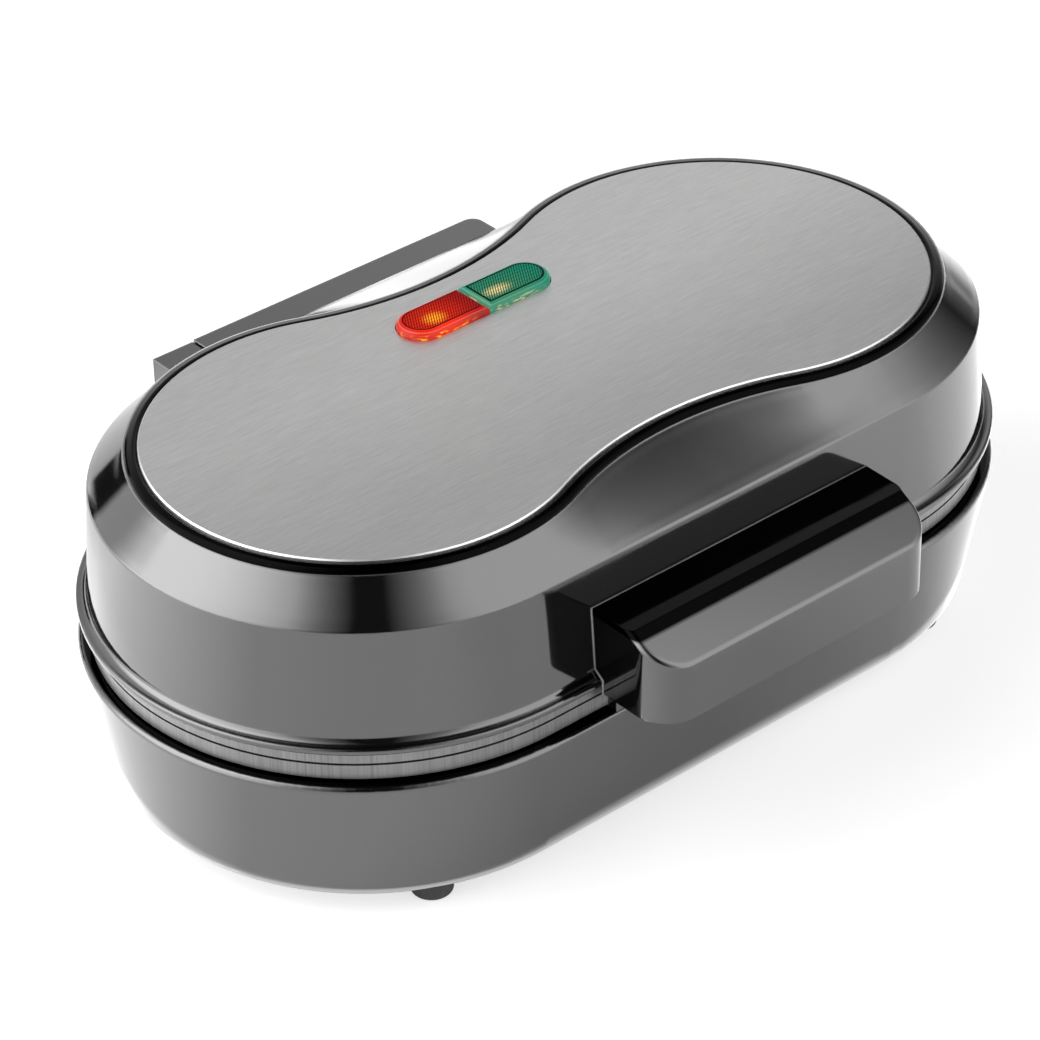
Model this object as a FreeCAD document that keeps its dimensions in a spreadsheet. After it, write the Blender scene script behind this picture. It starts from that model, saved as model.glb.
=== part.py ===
import FreeCAD, Part
import math
import os

import Sketcher

# Double doughnut maker: two lobes side by side, a fixed base and a lid on a rear hinge.
# Millimetres, +Z up, +Y to the rear, origin under the middle of the whole part on the table.

V = FreeCAD.Vector

SIZES = {
    # plan of the two lobes
    "lobe_offset": 60.0,
    # base housing
    "foot_height": 5.5,
    "foot_radius": 5.5,
    "foot_across": 42.0,
    "foot_along": 14.0,
    "foot_stud_radius": 2.5,
    "foot_stud_height": 4.0,
    "base_bottom_radius": 67.0,
    "base_bottom_rounding": 4.0,
    "rim_radius": 74.0,
    "rim_level": 44.5,
    "rim_rounding": 1.4,
    "land_width": 6.0,
    "land_rise": 0.7,
    "land_thickness": 2.5,
    "base_wall": 2.6,
    "base_floor": 2.5,
    "vent_length": 34.0,
    "vent_width": 3.2,
    "vent_pitch": 8.0,
    "vent_count": 5,
    # cooking plates and what they carry
    "parting_level": 49.9,
    "plate_gap": 0.6,
    "plate_radius": 70.9,
    "plate_thickness": 4.0,
    "mould_ring_radius": 33.0,
    "mould_half_width": 16.0,
    "mould_depth": 15.0,
    "mould_wall": 3.0,
    "mould_mouth_rounding": 1.2,
    "element_ring_radius": 60.0,
    "element_radius": 3.25,
    "element_clearance": 0.1,
    "element_end": 24.0,
    "cold_pin_radius": 1.6,
    "cold_pin_length": 12.0,
    "track_width": 11.0,
    "track_height": 4.0,
    "boss_radius": 5.0,
    "boss_height": 8.0,
    "post_along": 35.0,
    "post_radius": 6.5,
    "post_tip_radius": 4.2,
    "reflector_radius": 62.5,
    "reflector_thickness": 0.8,
    "reflector_drop": 22.1,
    "reflector_lip": 6.0,
    "reflector_clearance": 0.3,
    "plate_screw_radius": 2.0,
    "plate_screw_head_radius": 3.8,
    "plate_screw_head": 2.6,
    "plate_screw_grip": 14.0,
    "plate_screw_bite": 7.0,
    "screw_clearance": 0.1,
    "thermostat_radius": 8.0,
    "thermostat_height": 11.0,
    "thermostat_along": 14.0,
    "tab_width": 6.3,
    "tab_thickness": 0.8,
    "tab_length": 4.5,
    "fuse_radius": 2.5,
    "fuse_length": 16.0,
    "fuse_along": -14.0,
    "terminal_length": 26.0,
    "terminal_depth": 14.0,
    "terminal_height": 10.0,
    "terminal_across": 30.0,
    "terminal_along": 48.0,
    "terminal_screw_radius": 2.0,
    # lid housing
    "flange_radius": 73.4,
    "flange_level": 54.5,
    "flange_height": 1.5,
    "flange_cove": 2.0,
    "flange_rounding": 0.6,
    "lid_wall_bottom_radius": 70.8,
    "crease_radius": 68.5,
    "crease_level": 86.8,
    "crease_rounding": 0.8,
    "bevel_level": 96.4,
    "lid_wall": 2.6,
    "lid_top": 2.6,
    "ring_level": 97.9,
    "ring_width": 3.4,
    "ring_rounding": 1.3,
    "ring_slope": 0.9,
    # brushed panel and signal lamps
    "panel_lobe_radius": 55.2,
    "panel_waist": 43.0,
    "panel_level": 98.3,
    "panel_thickness": 1.2,
    "panel_clearance": 0.4,
    "panel_edge_chamfer": 0.35,
    "lens_length": 48.0,
    "lens_width": 13.4,
    "lens_along": 28.3,
    "lens_level": 100.5,
    "lens_depth": 6.9,
    "lens_wall": 1.5,
    "lens_clearance": 0.3,
    "lens_rounding": 1.8,
    "holder_margin": 3.0,
    "holder_height": 13.0,
    "holder_wall": 1.6,
    "lamp_radius": 2.75,
    "lamp_length": 14.0,
    "lamp_rise": 3.0,
    "cradle_thickness": 2.0,
    # handle
    "handle_half_width": 46.2,
    "handle_top": 75.6,
    "handle_shoulder_reach": 83.0,
    "handle_shoulder_level": 75.3,
    "handle_reach": 95.5,
    "handle_nose_level": 68.4,
    "handle_bottom": 52.0,
    "handle_corner": 10.0,
    "handle_edge_rounding": 1.5,
    "handle_back_rounding": 0.6,
    "handle_wall": 3.0,
    "skirt_bottom": 47.7,
    "skirt_thickness": 3.4,
    "seat_gap": 0.05,
    "fixing_across": 26.0,
    "handle_fixing_level": 65.0,
    "fixing_boss_radius": 4.2,
    "fixing_radius": 1.75,
    "fixing_head_radius": 3.4,
    "fixing_head": 2.2,
    "fixing_bite": 9.0,
    "fixing_seat_gap": 0.5,
    # hinge
    "hinge_reach": 86.0,
    "hinge_back": 80.0,
    "hinge_level": 50.0,
    "knuckle_radius": 5.5,
    "pin_radius": 2.5,
    "pin_fit": 0.02,
    "pin_running_gap": 0.05,
    "pin_head": 1.2,
    "pin_head_radius": 3.8,
    "block_half_width": 48.3,
    "block_top": 80.8,
    "block_bottom": 60.0,
    "block_wall": 3.0,
    "block_rounding": 3.5,
    "block_fixing_level": 72.0,
    "arm_width": 9.7,
    "arm_side_gap": 0.4,
    "lug_width": 10.0,
    "lug_root_level": 26.0,
    "wire_cover_width": 12.9,
    "wire_cover_step": 0.5,
    "wire_cover_wall": 2.0,
    "wire_hole_radius": 4.0,
    "wire_hole_level": 70.0,
    # cord inlet
    "inlet_level": 24.0,
    "inlet_pad_half_width": 12.0,
    "inlet_pad_half_height": 9.0,
    "inlet_pad_reach": 3.5,
    "gland_flange_width": 17.0,
    "gland_flange_height": 12.0,
    "gland_flange": 2.5,
    "gland_neck_width": 12.0,
    "gland_neck_height": 8.0,
    "gland_neck": 9.0,
    "gland_clearance": 0.2,
    "flex_width": 6.2,
    "flex_height": 4.2,
}

doc = FreeCAD.newDocument("doughnut_maker")
sheet = doc.addObject("Spreadsheet::Sheet", "Sizes")
for row, (alias, value) in enumerate(SIZES.items(), start=1):
    sheet.set(f"A{row}", alias)
    sheet.set(f"B{row}", str(value))
    sheet.setAlias(f"B{row}", alias)
doc.recompute()


class Size:
    """A length that keeps its number and the sheet expression it comes from."""

    def __init__(self, value, text):
        self.value = value
        self.text = text

    def __add__(self, other):
        other = as_size(other)
        return Size(self.value + other.value, f"({self.text} + {other.text})")

    def __sub__(self, other):
        other = as_size(other)
        return Size(self.value - other.value, f"({self.text} - {other.text})")

    def __mul__(self, other):
        other = as_size(other)
        return Size(self.value * other.value, f"({self.text} * {other.text})")

    def __truediv__(self, other):
        other = as_size(other)
        return Size(self.value / other.value, f"({self.text} / {other.text})")

    def __rsub__(self, other):
        return as_size(other) - self

    def __rmul__(self, other):
        return as_size(other) * self

    def __neg__(self):
        return Size(-self.value, f"(-1 * {self.text})")


def as_size(x):
    return x if isinstance(x, Size) else Size(float(x), str(x))


def root(x):
    return Size(math.sqrt(x.value), f"sqrt({x.text})")


class Sheet:
    """Reads each alias of the sheet as a Size, such as z.rim_level."""

    def __getattr__(self, alias):
        return Size(float(sheet.get(alias)), f"Sizes.{alias}")


z = Sheet()
ZERO = as_size(0)
part_shift = (z.handle_reach - z.hinge_reach) / 2
parts = []


def new_body(label):
    body = doc.addObject("PartDesign::Body", label)
    body.Label = label
    body.setExpression("Placement.Base.y", part_shift.text)
    parts.append(body)
    return body


def new_sketch(body, name, plane, height=ZERO):
    sketch = body.newObject("Sketcher::SketchObject", f"{body.Name}_{name}")
    origin = [f for f in body.Origin.OriginFeatures if f.Role == plane][0]
    sketch.AttachmentSupport = [(origin, "")]
    sketch.MapMode = "FlatFace"
    sketch.AttachmentOffset = FreeCAD.Placement(V(0, 0, height.value), FreeCAD.Rotation())
    sketch.setExpression("AttachmentOffset.Base.z", height.text)
    return sketch


def hold(sketch, kind, element, point, size):
    """Binds one coordinate of a sketch point to a size."""
    if size.value == 0 and size.text == "0":
        axis = -2 if kind == "DistanceX" else -1
        sketch.addConstraint(Sketcher.Constraint("PointOnObject", element, point, axis))
        return
    index = sketch.addConstraint(Sketcher.Constraint(kind, -1, 1, element, point, size.value))
    sketch.setExpression(f"Constraints[{index}]", size.text)


def draw_loop(sketch, corners):
    """Draws a closed outline. A corner is (x, y), or (x, y, radius, bulge) where an arc of under
    half a turn starts there: bulge +1 turns anticlockwise, -1 clockwise."""
    first = sketch.GeometryCount
    count = len(corners)
    ends = []
    for i, corner in enumerate(corners):
        here = V(corner[0].value, corner[1].value, 0)
        after = V(corners[(i + 1) % count][0].value, corners[(i + 1) % count][1].value, 0)
        if len(corner) == 2:
            sketch.addGeometry(Part.LineSegment(here, after))
            ends.append((1, 2))
            continue
        radius, bulge = corner[2], corner[3]
        chord = after - here
        side = V(-chord.y, chord.x, 0).normalize()
        rise = math.sqrt(max(radius.value ** 2 - (chord.Length / 2) ** 2, 0))
        centre = (here + after) / 2 + side * rise * bulge
        start, stop = (here, after) if bulge > 0 else (after, here)
        angles = [math.atan2(p.y - centre.y, p.x - centre.x) for p in (start, stop)]
        circle = Part.Circle(centre, V(0, 0, 1), radius.value)
        sketch.addGeometry(Part.ArcOfCircle(circle, angles[0], angles[1]))
        ends.append((1, 2) if bulge > 0 else (2, 1))
    for i in range(count):
        after = (i + 1) % count
        link = Sketcher.Constraint("Coincident", first + i, ends[i][1], first + after, ends[after][0])
        sketch.addConstraint(link)
    for i, corner in enumerate(corners):
        hold(sketch, "DistanceX", first + i, ends[i][0], corner[0])
        hold(sketch, "DistanceY", first + i, ends[i][0], corner[1])
        if len(corner) > 2:
            index = sketch.addConstraint(Sketcher.Constraint("Radius", first + i, corner[2].value))
            sketch.setExpression(f"Constraints[{index}]", corner[2].text)


def draw_circle(sketch, x, y, radius):
    index = sketch.addGeometry(Part.Circle(V(x.value, y.value, 0), V(0, 0, 1), radius.value))
    hold(sketch, "DistanceX", index, 3, x)
    hold(sketch, "DistanceY", index, 3, y)
    bound = sketch.addConstraint(Sketcher.Constraint("Radius", index, radius.value))
    sketch.setExpression(f"Constraints[{bound}]", radius.text)


def rectangle(x0, y0, x1, y1):
    return [(x0, y0), (x1, y0), (x1, y1), (x0, y1)]


def pill(x, y, length, width):
    """A slot outline with round ends, quarter arcs at the ends."""
    r = width / 2
    flat = length / 2 - r
    return [
        (x - flat, y - r), (x + flat, y - r, r, 1), (x + flat + r, y, r, 1),
        (x + flat, y + r), (x - flat, y + r, r, 1), (x - flat - r, y, r, 1),
    ]


def peanut_points(grow):
    """Lobe radius, waist arc radius and touching point of the panel outline, grown by an offset."""
    lobe = z.panel_lobe_radius
    waist = z.panel_waist
    offset = z.lobe_offset
    arc = (offset * offset + waist * waist - lobe * lobe) / (2 * (lobe - waist))
    touch_x = offset - offset * (lobe + grow) / (lobe + arc)
    touch_y = (waist + arc) * (lobe + grow) / (lobe + arc)
    return lobe + grow, arc - grow, waist + grow, touch_x, touch_y


def peanut(grow):
    """The two-lobed panel outline: round lobes joined by hollow waist arcs, in 12 edges."""
    lobe, arc, waist, tx, ty = peanut_points(grow)
    c = z.lobe_offset
    return [
        (c + lobe, ZERO, lobe, 1), (c, lobe, lobe, 1), (tx, ty, arc, -1),
        (ZERO, waist, arc, -1), (-tx, ty, lobe, 1), (-c, lobe, lobe, 1),
        (-c - lobe, ZERO, lobe, 1), (-c, -lobe, lobe, 1), (-tx, -ty, arc, -1),
        (ZERO, -waist, arc, -1), (tx, -ty, lobe, 1), (c, -lobe, lobe, 1),
    ]


def stadium(r):
    """Two half circles and two straight sides, split where the panel outline is split."""
    tx = peanut_points(ZERO)[3]
    c = z.lobe_offset
    return [
        (c + r, ZERO, r, 1), (c, r), (tx, r), (ZERO, r), (-tx, r), (-c, r, r, 1),
        (-c - r, ZERO, r, 1), (-c, -r), (-tx, -r), (ZERO, -r), (tx, -r), (c, -r, r, 1),
    ]


def feature(body, kind, name, **settings):
    item = body.newObject(f"PartDesign::{kind}", f"{body.Name}_{name}")
    for key, value in settings.items():
        if isinstance(value, Size):
            setattr(item, key, value.value)
            item.setExpression(key, value.text)
        else:
            setattr(item, key, value)
    doc.recompute()
    body.Tip = item
    return item


def pad_loops(body, name, loops, bottom, top, plane="XY_Plane", cut=False):
    """Pads or pockets outlines between two levels along the normal of a plane."""
    sketch = new_sketch(body, name + "_outline", plane, bottom)
    for loop in loops:
        if len(loop) == 3 and isinstance(loop[0], Size):
            draw_circle(sketch, *loop)
        else:
            draw_loop(sketch, loop)
    before = body.Shape.Volume if cut else 0
    kind = "Pocket" if cut else "Pad"
    item = feature(body, kind, name, Profile=sketch, Length=top - bottom, Reversed=cut)
    if cut and not body.Shape.Volume < before - 1e-6:
        raise RuntimeError(f"{item.Name} removed nothing")
    return item


def cut_loops(body, name, loops, bottom, top, plane="XY_Plane"):
    return pad_loops(body, name, loops, bottom, top, plane, cut=True)


def mirrored(section):
    """A half section that reaches the middle, made whole."""
    inner = [p for p in reversed(section) if p[0].value != 0]
    return section + [(-p[0], p[1]) for p in inner]


def lobed_solid(body, name, section):
    """Carries a half section (radius, height) along the stadium plan: a straight run in the
    middle, and half a turn about each lobe centre."""
    sketch = new_sketch(body, name + "_run", "YZ_Plane", -z.lobe_offset)
    draw_loop(sketch, mirrored(section))
    feature(body, "Pad", name + "_middle", Profile=sketch, Length=2 * z.lobe_offset)
    sketch = new_sketch(body, name + "_turn", "XZ_Plane")
    turn_section(sketch, section)
    turn = feature(body, "Revolution", name + "_end", Profile=sketch, Midplane=True, Angle=180.0,
                   ReferenceAxis=(sketch, ["Axis0"]))
    mirror(body, turn, name + "_other_end")


def turn_section(sketch, section):
    """Draws a section beside the upright axis of the right lobe."""
    x = z.lobe_offset
    top = z.crease_level
    axis = sketch.addGeometry(Part.LineSegment(V(x.value, 0, 0), V(x.value, top.value, 0)), True)
    for point, height in ((1, ZERO), (2, top)):
        hold(sketch, "DistanceX", axis, point, x)
        hold(sketch, "DistanceY", axis, point, height)
    draw_loop(sketch, [(p[0] + x, *p[1:]) for p in section])


def mirror(body, item, name, plane="YZ_Plane"):
    origin = [f for f in body.Origin.OriginFeatures if f.Role == plane][0]
    return feature(body, "Mirrored", name, Originals=[item], MirrorPlane=(origin, [""]))


def round_edges(body, name, size, chosen, kind="Fillet"):
    """Rounds or chamfers the edges whose points all satisfy a test."""
    doc.recompute()
    names = []
    for i, edge in enumerate(body.Shape.Edges, start=1):
        points = edge.discretize(5)
        local = [body.Placement.inverse().multVec(p) for p in points]
        if all(chosen(p) for p in local):
            names.append(f"Edge{i}")
    if not names:
        raise RuntimeError(f"no edge found for {name} of {body.Label}")
    key = "Radius" if kind == "Fillet" else "Size"
    return feature(body, kind, name, Base=(body.Tip, names), **{key: size})


def near(a, b):
    return abs(a - (b.value if isinstance(b, Size) else b)) < 0.01


def lobe_radius_of(p):
    """How far a point lies from the line that joins the lobe centres."""
    over = max(abs(p.x) - z.lobe_offset.value, 0)
    return math.hypot(over, p.y)


def wall_reach(level):
    """Distance of the lid's straight outer wall from the middle, at a level."""
    share = (level - z.flange_level) / (z.crease_level - z.flange_level)
    return z.lid_wall_bottom_radius + (z.crease_radius - z.lid_wall_bottom_radius) * share


def base_reach(level):
    """Distance of the base's straight outer wall from the middle, at a level."""
    share = (level - z.foot_height) / (z.rim_level - z.foot_height)
    return z.base_bottom_radius + (z.rim_radius - z.base_bottom_radius) * share


def inlet_face():
    """Distance of the inlet pad's face from the middle: it stands out of the wall's mean reach."""
    return (z.base_bottom_radius + z.rim_radius) / 2 + z.inlet_pad_reach


def post_places(rear):
    """Where the plates are screwed down: under each mould's core and between the lobes."""
    places = [(z.lobe_offset, ZERO), (-z.lobe_offset, ZERO), (ZERO, -z.post_along)]
    return places + [(ZERO, z.post_along)] if rear else places


# Levels that follow from the sizes, for the lower (-1) and the upper (+1) plate.
def from_parting(side, distance):
    return z.parting_level + distance if side > 0 else z.parting_level - distance


face_drop = z.plate_gap / 2
back_drop = face_drop + z.plate_thickness
boss_drop = back_drop + z.boss_height
seat_drop = boss_drop + z.plate_screw_grip
reflector_top_drop = z.reflector_drop
reflector_back_drop = z.reflector_drop + z.reflector_thickness
floor_level = z.foot_height + z.base_floor
panel_seat = z.panel_level - z.panel_thickness
lid_ceiling = panel_seat - z.lid_top


def span(side, near_drop, far_drop):
    """The lower and upper level of a slab between two distances from the parting plane."""
    a, b = from_parting(side, near_drop), from_parting(side, far_drop)
    return (a, b) if side > 0 else (b, a)


def add_posts(body, side, root_level):
    """Hollow posts with a shoulder for the reflector and a bore for the plate screw."""
    places = post_places(side < 0)
    for name, radius, top in (("posts", z.post_radius, reflector_back_drop),
                              ("post_tips", z.post_tip_radius, boss_drop)):
        levels = (root_level, from_parting(side, top))
        low, high = levels if side < 0 else levels[::-1]
        pad_loops(body, name, [(x, y, radius) for x, y in places], low, high)


def bore_posts(body, side, open_level):
    places = post_places(side < 0)
    head = z.plate_screw_head_radius + 4 * z.screw_clearance
    shank = z.plate_screw_radius + 2 * z.screw_clearance
    for name, radius, near_drop in (("head_bores", head, seat_drop), ("shank_bores", shank, boss_drop)):
        levels = (open_level, from_parting(side, near_drop))
        low, high = levels if side < 0 else levels[::-1]
        cut_loops(body, name, [(x, y, radius) for x, y in places], low, high)


def make_base_shell():
    body = new_body("base_shell")
    inner = z.rim_radius - z.land_width
    lobed_solid(body, "tub", [
        (ZERO, z.foot_height),
        (z.base_bottom_radius, z.foot_height),
        (z.rim_radius, z.rim_level),
        (inner, z.rim_level + z.land_rise),
        (inner, z.rim_level - z.land_thickness),
        (z.rim_radius - z.base_wall - z.land_rise, z.rim_level - 2 * z.land_thickness),
        (z.base_bottom_radius - z.base_wall, floor_level),
        (ZERO, floor_level),
    ])
    round_edges(body, "bottom_edge", z.base_bottom_rounding,
                lambda p: near(p.z, z.foot_height) and near(lobe_radius_of(p), z.base_bottom_radius))
    round_edges(body, "rim_edge", z.rim_rounding,
                lambda p: near(p.z, z.rim_level) and near(lobe_radius_of(p), z.rim_radius))
    add_posts(body, -1, z.foot_height + z.base_floor / 2)
    bore_posts(body, -1, z.foot_height)
    add_hinge_lugs(body)
    inlet = base_reach(z.inlet_level) - z.base_wall
    half_x, half_z = z.inlet_pad_half_width, z.inlet_pad_half_height
    pad_outline = rectangle(-half_x, z.inlet_level - half_z, half_x, z.inlet_level + half_z)
    pad_loops(body, "inlet_pad", [pad_outline], -inlet_face(), -inlet, "XZ_Plane")
    grow = 2 * z.gland_clearance
    hole = pill(ZERO, z.inlet_level, z.gland_neck_width + grow, z.gland_neck_height + grow)
    cut_loops(body, "inlet_hole", [hole], -inlet_face(), -inlet + z.base_wall * 2, "XZ_Plane")
    feet = [(x, y, z.foot_stud_radius + z.gland_clearance) for x, y in foot_places().values()]
    cut_loops(body, "foot_holes", feet, z.foot_height, floor_level)
    pitch = z.vent_pitch
    slots = []
    for i in range(int(z.vent_count.value)):
        along = pitch * (i - (int(z.vent_count.value) - 1) / 2)
        for side in (-1, 1):
            slots.append(pill(side * z.lobe_offset / 2, along, z.vent_length, z.vent_width))
    cut_loops(body, "vents", slots, z.foot_height, floor_level)


def foot_places():
    """Where the feet sit: in from the bottom's ends and from its front and rear."""
    across = z.lobe_offset + z.base_bottom_radius - z.foot_across
    along = z.base_bottom_radius - z.foot_along
    return {
        "foot_front_left": (-across, -along),
        "foot_front_right": (across, -along),
        "foot_rear_left": (-across, along),
        "foot_rear_right": (across, along),
    }


def make_feet():
    for label, (x, y) in foot_places().items():
        body = new_body(label)
        pad_loops(body, "pad", [(x, y, z.foot_radius)], ZERO, z.foot_height)
        round_edges(body, "tread", z.foot_radius / 5, lambda p: near(p.z, 0))
        stud_top = z.foot_height + z.foot_stud_height
        pad_loops(body, "stud", [(x, y, z.foot_stud_radius)], z.foot_height, stud_top)


def hinge_span(side, inner, width):
    """A stretch along the hinge, on the left (-1) or right (+1)."""
    return (inner, inner + width) if side > 0 else (-inner - width, -inner)


lug_inner = z.block_half_width - z.arm_width - z.arm_side_gap - z.lug_width
arm_inner = z.block_half_width - z.arm_width


def add_hinge_lugs(body):
    """Two lugs that rise behind the rim and carry the hinge pins."""
    k = z.knuckle_radius
    buried = base_reach(z.lug_root_level) - z.base_wall / 2
    web = [
        (buried, z.lug_root_level),
        (z.hinge_back + 0.8 * k, z.hinge_level - 0.6 * k),
        (z.hinge_back, z.hinge_level),
        (z.hinge_back - k, z.hinge_level),
        (z.rim_radius - z.base_wall / 2, z.rim_level - z.base_wall / 2),
    ]
    for side, hand in ((-1, "left"), (1, "right")):
        low, high = hinge_span(side, lug_inner, z.lug_width)
        pad_loops(body, f"{hand}_lug_web", [web], low, high, "YZ_Plane")
        pad_loops(body, f"{hand}_lug_eye", [(z.hinge_back, z.hinge_level, k)], low, high, "YZ_Plane")
        cut_loops(body, f"{hand}_lug_bore", [(z.hinge_back, z.hinge_level, z.pin_radius + z.pin_fit)],
                  low, high, "YZ_Plane")


def make_hinge_pins():
    for side, hand in ((-1, "left"), (1, "right")):
        body = new_body(f"hinge_pin_{hand}")
        centre = (z.hinge_back, z.hinge_level)
        low, high = hinge_span(side, lug_inner, z.lug_width + z.arm_side_gap + z.arm_width)
        pad_loops(body, "shank", [(*centre, z.pin_radius)], low, high, "YZ_Plane")
        low, high = hinge_span(side, lug_inner - z.pin_head, z.pin_head)
        pad_loops(body, "head", [(*centre, z.pin_head_radius)], low, high, "YZ_Plane")


def make_cooking_plate(label, side):
    """A cast plate with two ring moulds in its face, a track for the element and screw bosses."""
    body = new_body(label)
    arc = (z.mould_half_width * z.mould_half_width + z.mould_depth * z.mould_depth) / (2 * z.mould_depth)
    centre_drop = face_drop + z.mould_depth - arc
    shell = arc + z.mould_wall
    low, high = span(side, face_drop, back_drop)
    pad_loops(body, "slab", [stadium(z.plate_radius)], low, high)
    low, high = span(side, back_drop, back_drop + z.track_height)
    half = z.track_width / 2
    rails = [stadium(z.element_ring_radius + half), stadium(z.element_ring_radius - half)]
    pad_loops(body, "track", rails, low, high)
    low, high = span(side, back_drop, boss_drop)
    pad_loops(body, "bosses", [(x, y, z.boss_radius) for x, y in post_places(side < 0)], low, high)
    low, high = span(side, boss_drop - z.plate_screw_bite - z.screw_clearance, boss_drop)
    hole = z.plate_screw_radius + z.screw_clearance / 2
    cut_loops(body, "screw_holes", [(x, y, hole) for x, y in post_places(side < 0)], low, high)
    ring = z.mould_ring_radius
    mid = face_drop + z.plate_thickness / 2
    reach = root(shell * shell - (mid - centre_drop) * (mid - centre_drop))
    deep = centre_drop + shell
    bulge = -1 if side > 0 else 1
    cup = [
        (ring - reach, from_parting(side, mid), shell, bulge),
        (ring, from_parting(side, deep), shell, bulge),
        (ring + reach, from_parting(side, mid)),
    ]
    add_turn(body, "cups", cup, "Revolution")
    deep = centre_drop + arc
    mould = [
        (ring - z.mould_half_width, from_parting(side, face_drop), arc, bulge),
        (ring, from_parting(side, deep), arc, bulge),
        (ring + z.mould_half_width, from_parting(side, face_drop)),
    ]
    add_turn(body, "moulds", mould, "Groove")
    groove = element_groove(side)
    cut_pipe(body, groove)
    face = from_parting(side, face_drop)
    round_edges(body, "mould_mouths", z.mould_mouth_rounding,
                lambda p: near(p.z, face) and math.hypot(abs(p.x) - z.lobe_offset.value, p.y)
                < (ring + z.mould_half_width).value + 0.1)


def add_turn(body, name, section, kind):
    """A full turn of a section about the right lobe's axis, and its twin on the left."""
    sketch = new_sketch(body, name + "_section", "XZ_Plane")
    turn_section(sketch, section)
    item = feature(body, kind, name, Profile=sketch, Angle=360.0, ReferenceAxis=(sketch, ["Axis0"]))
    mirror(body, item, name + "_twin")


def element_groove(side):
    return from_parting(side, back_drop + z.track_height)


def element_path(body, name, level, open_ended):
    """The element's route on one level: a stadium, left open at the rear middle."""
    sketch = new_sketch(body, name, "XY_Plane", level)
    r = z.element_ring_radius
    c = z.lobe_offset
    if not open_ended:
        draw_loop(sketch, stadium(r))
        return sketch
    points = [
        (-z.element_end, r), (-c, r), (-c - r, ZERO), (-c, -r),
        (c, -r), (c + r, ZERO), (c, r), (z.element_end, r),
    ]
    centres = {1: -1, 2: -1, 4: 1, 5: 1}
    for i in range(len(points) - 1):
        here, after = [V(p[0].value, p[1].value, 0) for p in points[i:i + 2]]
        if i not in centres:
            sketch.addGeometry(Part.LineSegment(here, after))
            continue
        centre = V(c.value * centres[i], 0, 0)
        angles = [math.atan2(p.y, p.x - centre.x) for p in (here, after)]
        if angles[1] < angles[0]:
            angles[1] += 2 * math.pi
        sketch.addGeometry(Part.ArcOfCircle(Part.Circle(centre, V(0, 0, 1), r.value), *angles))
    for i in range(len(points) - 2):
        sketch.addConstraint(Sketcher.Constraint("Coincident", i, 2, i + 1, 1))
    for i, (x, y) in enumerate(points):
        element, point = (i, 1) if i < len(points) - 1 else (i - 1, 2)
        hold(sketch, "DistanceX", element, point, x)
        hold(sketch, "DistanceY", element, point, y)
    for i in centres:
        index = sketch.addConstraint(Sketcher.Constraint("Radius", i, r.value))
        sketch.setExpression(f"Constraints[{index}]", r.text)
    return sketch


def cut_pipe(body, level):
    """The round-bottomed groove that the element is pressed into."""
    path = element_path(body, "groove_path", level, False)
    profile = new_sketch(body, "groove_profile", "YZ_Plane")
    draw_circle(profile, z.element_ring_radius, level, z.element_radius + z.element_clearance)
    feature(body, "SubtractivePipe", "element_groove", Profile=profile, Spine=path)


def make_element(label, side):
    body = new_body(label)
    level = element_groove(side)
    path = element_path(body, "path", level, True)
    profile = new_sketch(body, "profile", "YZ_Plane", z.element_end)
    draw_circle(profile, z.element_ring_radius, level, z.element_radius)
    feature(body, "AdditivePipe", "tube", Profile=profile, Spine=path)
    for name, low in (("left_pin", -z.element_end), ("right_pin", z.element_end - z.cold_pin_length)):
        pin = (z.element_ring_radius, level, z.cold_pin_radius)
        pad_loops(body, name, [pin], low, low + z.cold_pin_length, "YZ_Plane")


def make_reflector(label, side):
    """A pressed sheet tray behind the element, with holes for the posts."""
    body = new_body(label)
    low, high = span(side, reflector_top_drop, reflector_back_drop)
    pad_loops(body, "sheet", [stadium(z.reflector_radius)], low, high)
    low, high = span(side, reflector_top_drop - z.reflector_lip, reflector_top_drop)
    inner = z.reflector_radius - z.reflector_thickness
    pad_loops(body, "lip", [stadium(z.reflector_radius), stadium(inner)], low, high)
    low, high = span(side, reflector_top_drop, reflector_back_drop)
    hole = z.post_tip_radius + z.reflector_clearance
    cut_loops(body, "post_holes", [(x, y, hole) for x, y in post_places(side < 0)], low, high)


def make_plate_screws(label, side):
    body = new_body(label)
    places = post_places(side < 0)
    low, high = span(side, seat_drop, seat_drop + z.plate_screw_head)
    pad_loops(body, "heads", [(x, y, z.plate_screw_head_radius) for x, y in places], low, high)
    low, high = span(side, boss_drop - z.plate_screw_bite, seat_drop)
    pad_loops(body, "shanks", [(x, y, z.plate_screw_radius) for x, y in places], low, high)


def make_thermostat(label, side):
    """A disc thermostat pressed on the back of a plate, with two flat tabs."""
    body = new_body(label)
    low, high = span(side, back_drop, back_drop + z.thermostat_height)
    pad_loops(body, "can", [(ZERO, z.thermostat_along, z.thermostat_radius)], low, high)
    far = back_drop + z.thermostat_height
    low, high = span(side, far, far + z.tab_length)
    loops = []
    for hand in (-1, 1):
        x = hand * z.thermostat_radius / 2
        half = z.tab_thickness / 2
        front = z.thermostat_along - z.tab_width / 2
        loops.append(rectangle(x - half, front, x + half, front + z.tab_width))
    pad_loops(body, "tabs", loops, low, high)


def make_thermal_fuse():
    body = new_body("thermal_fuse")
    level = from_parting(-1, back_drop + z.fuse_radius + z.element_clearance)
    pad_loops(body, "can", [(ZERO, level, z.fuse_radius)], -z.fuse_along - z.fuse_length / 2,
              -z.fuse_along + z.fuse_length / 2, "XZ_Plane")


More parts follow.
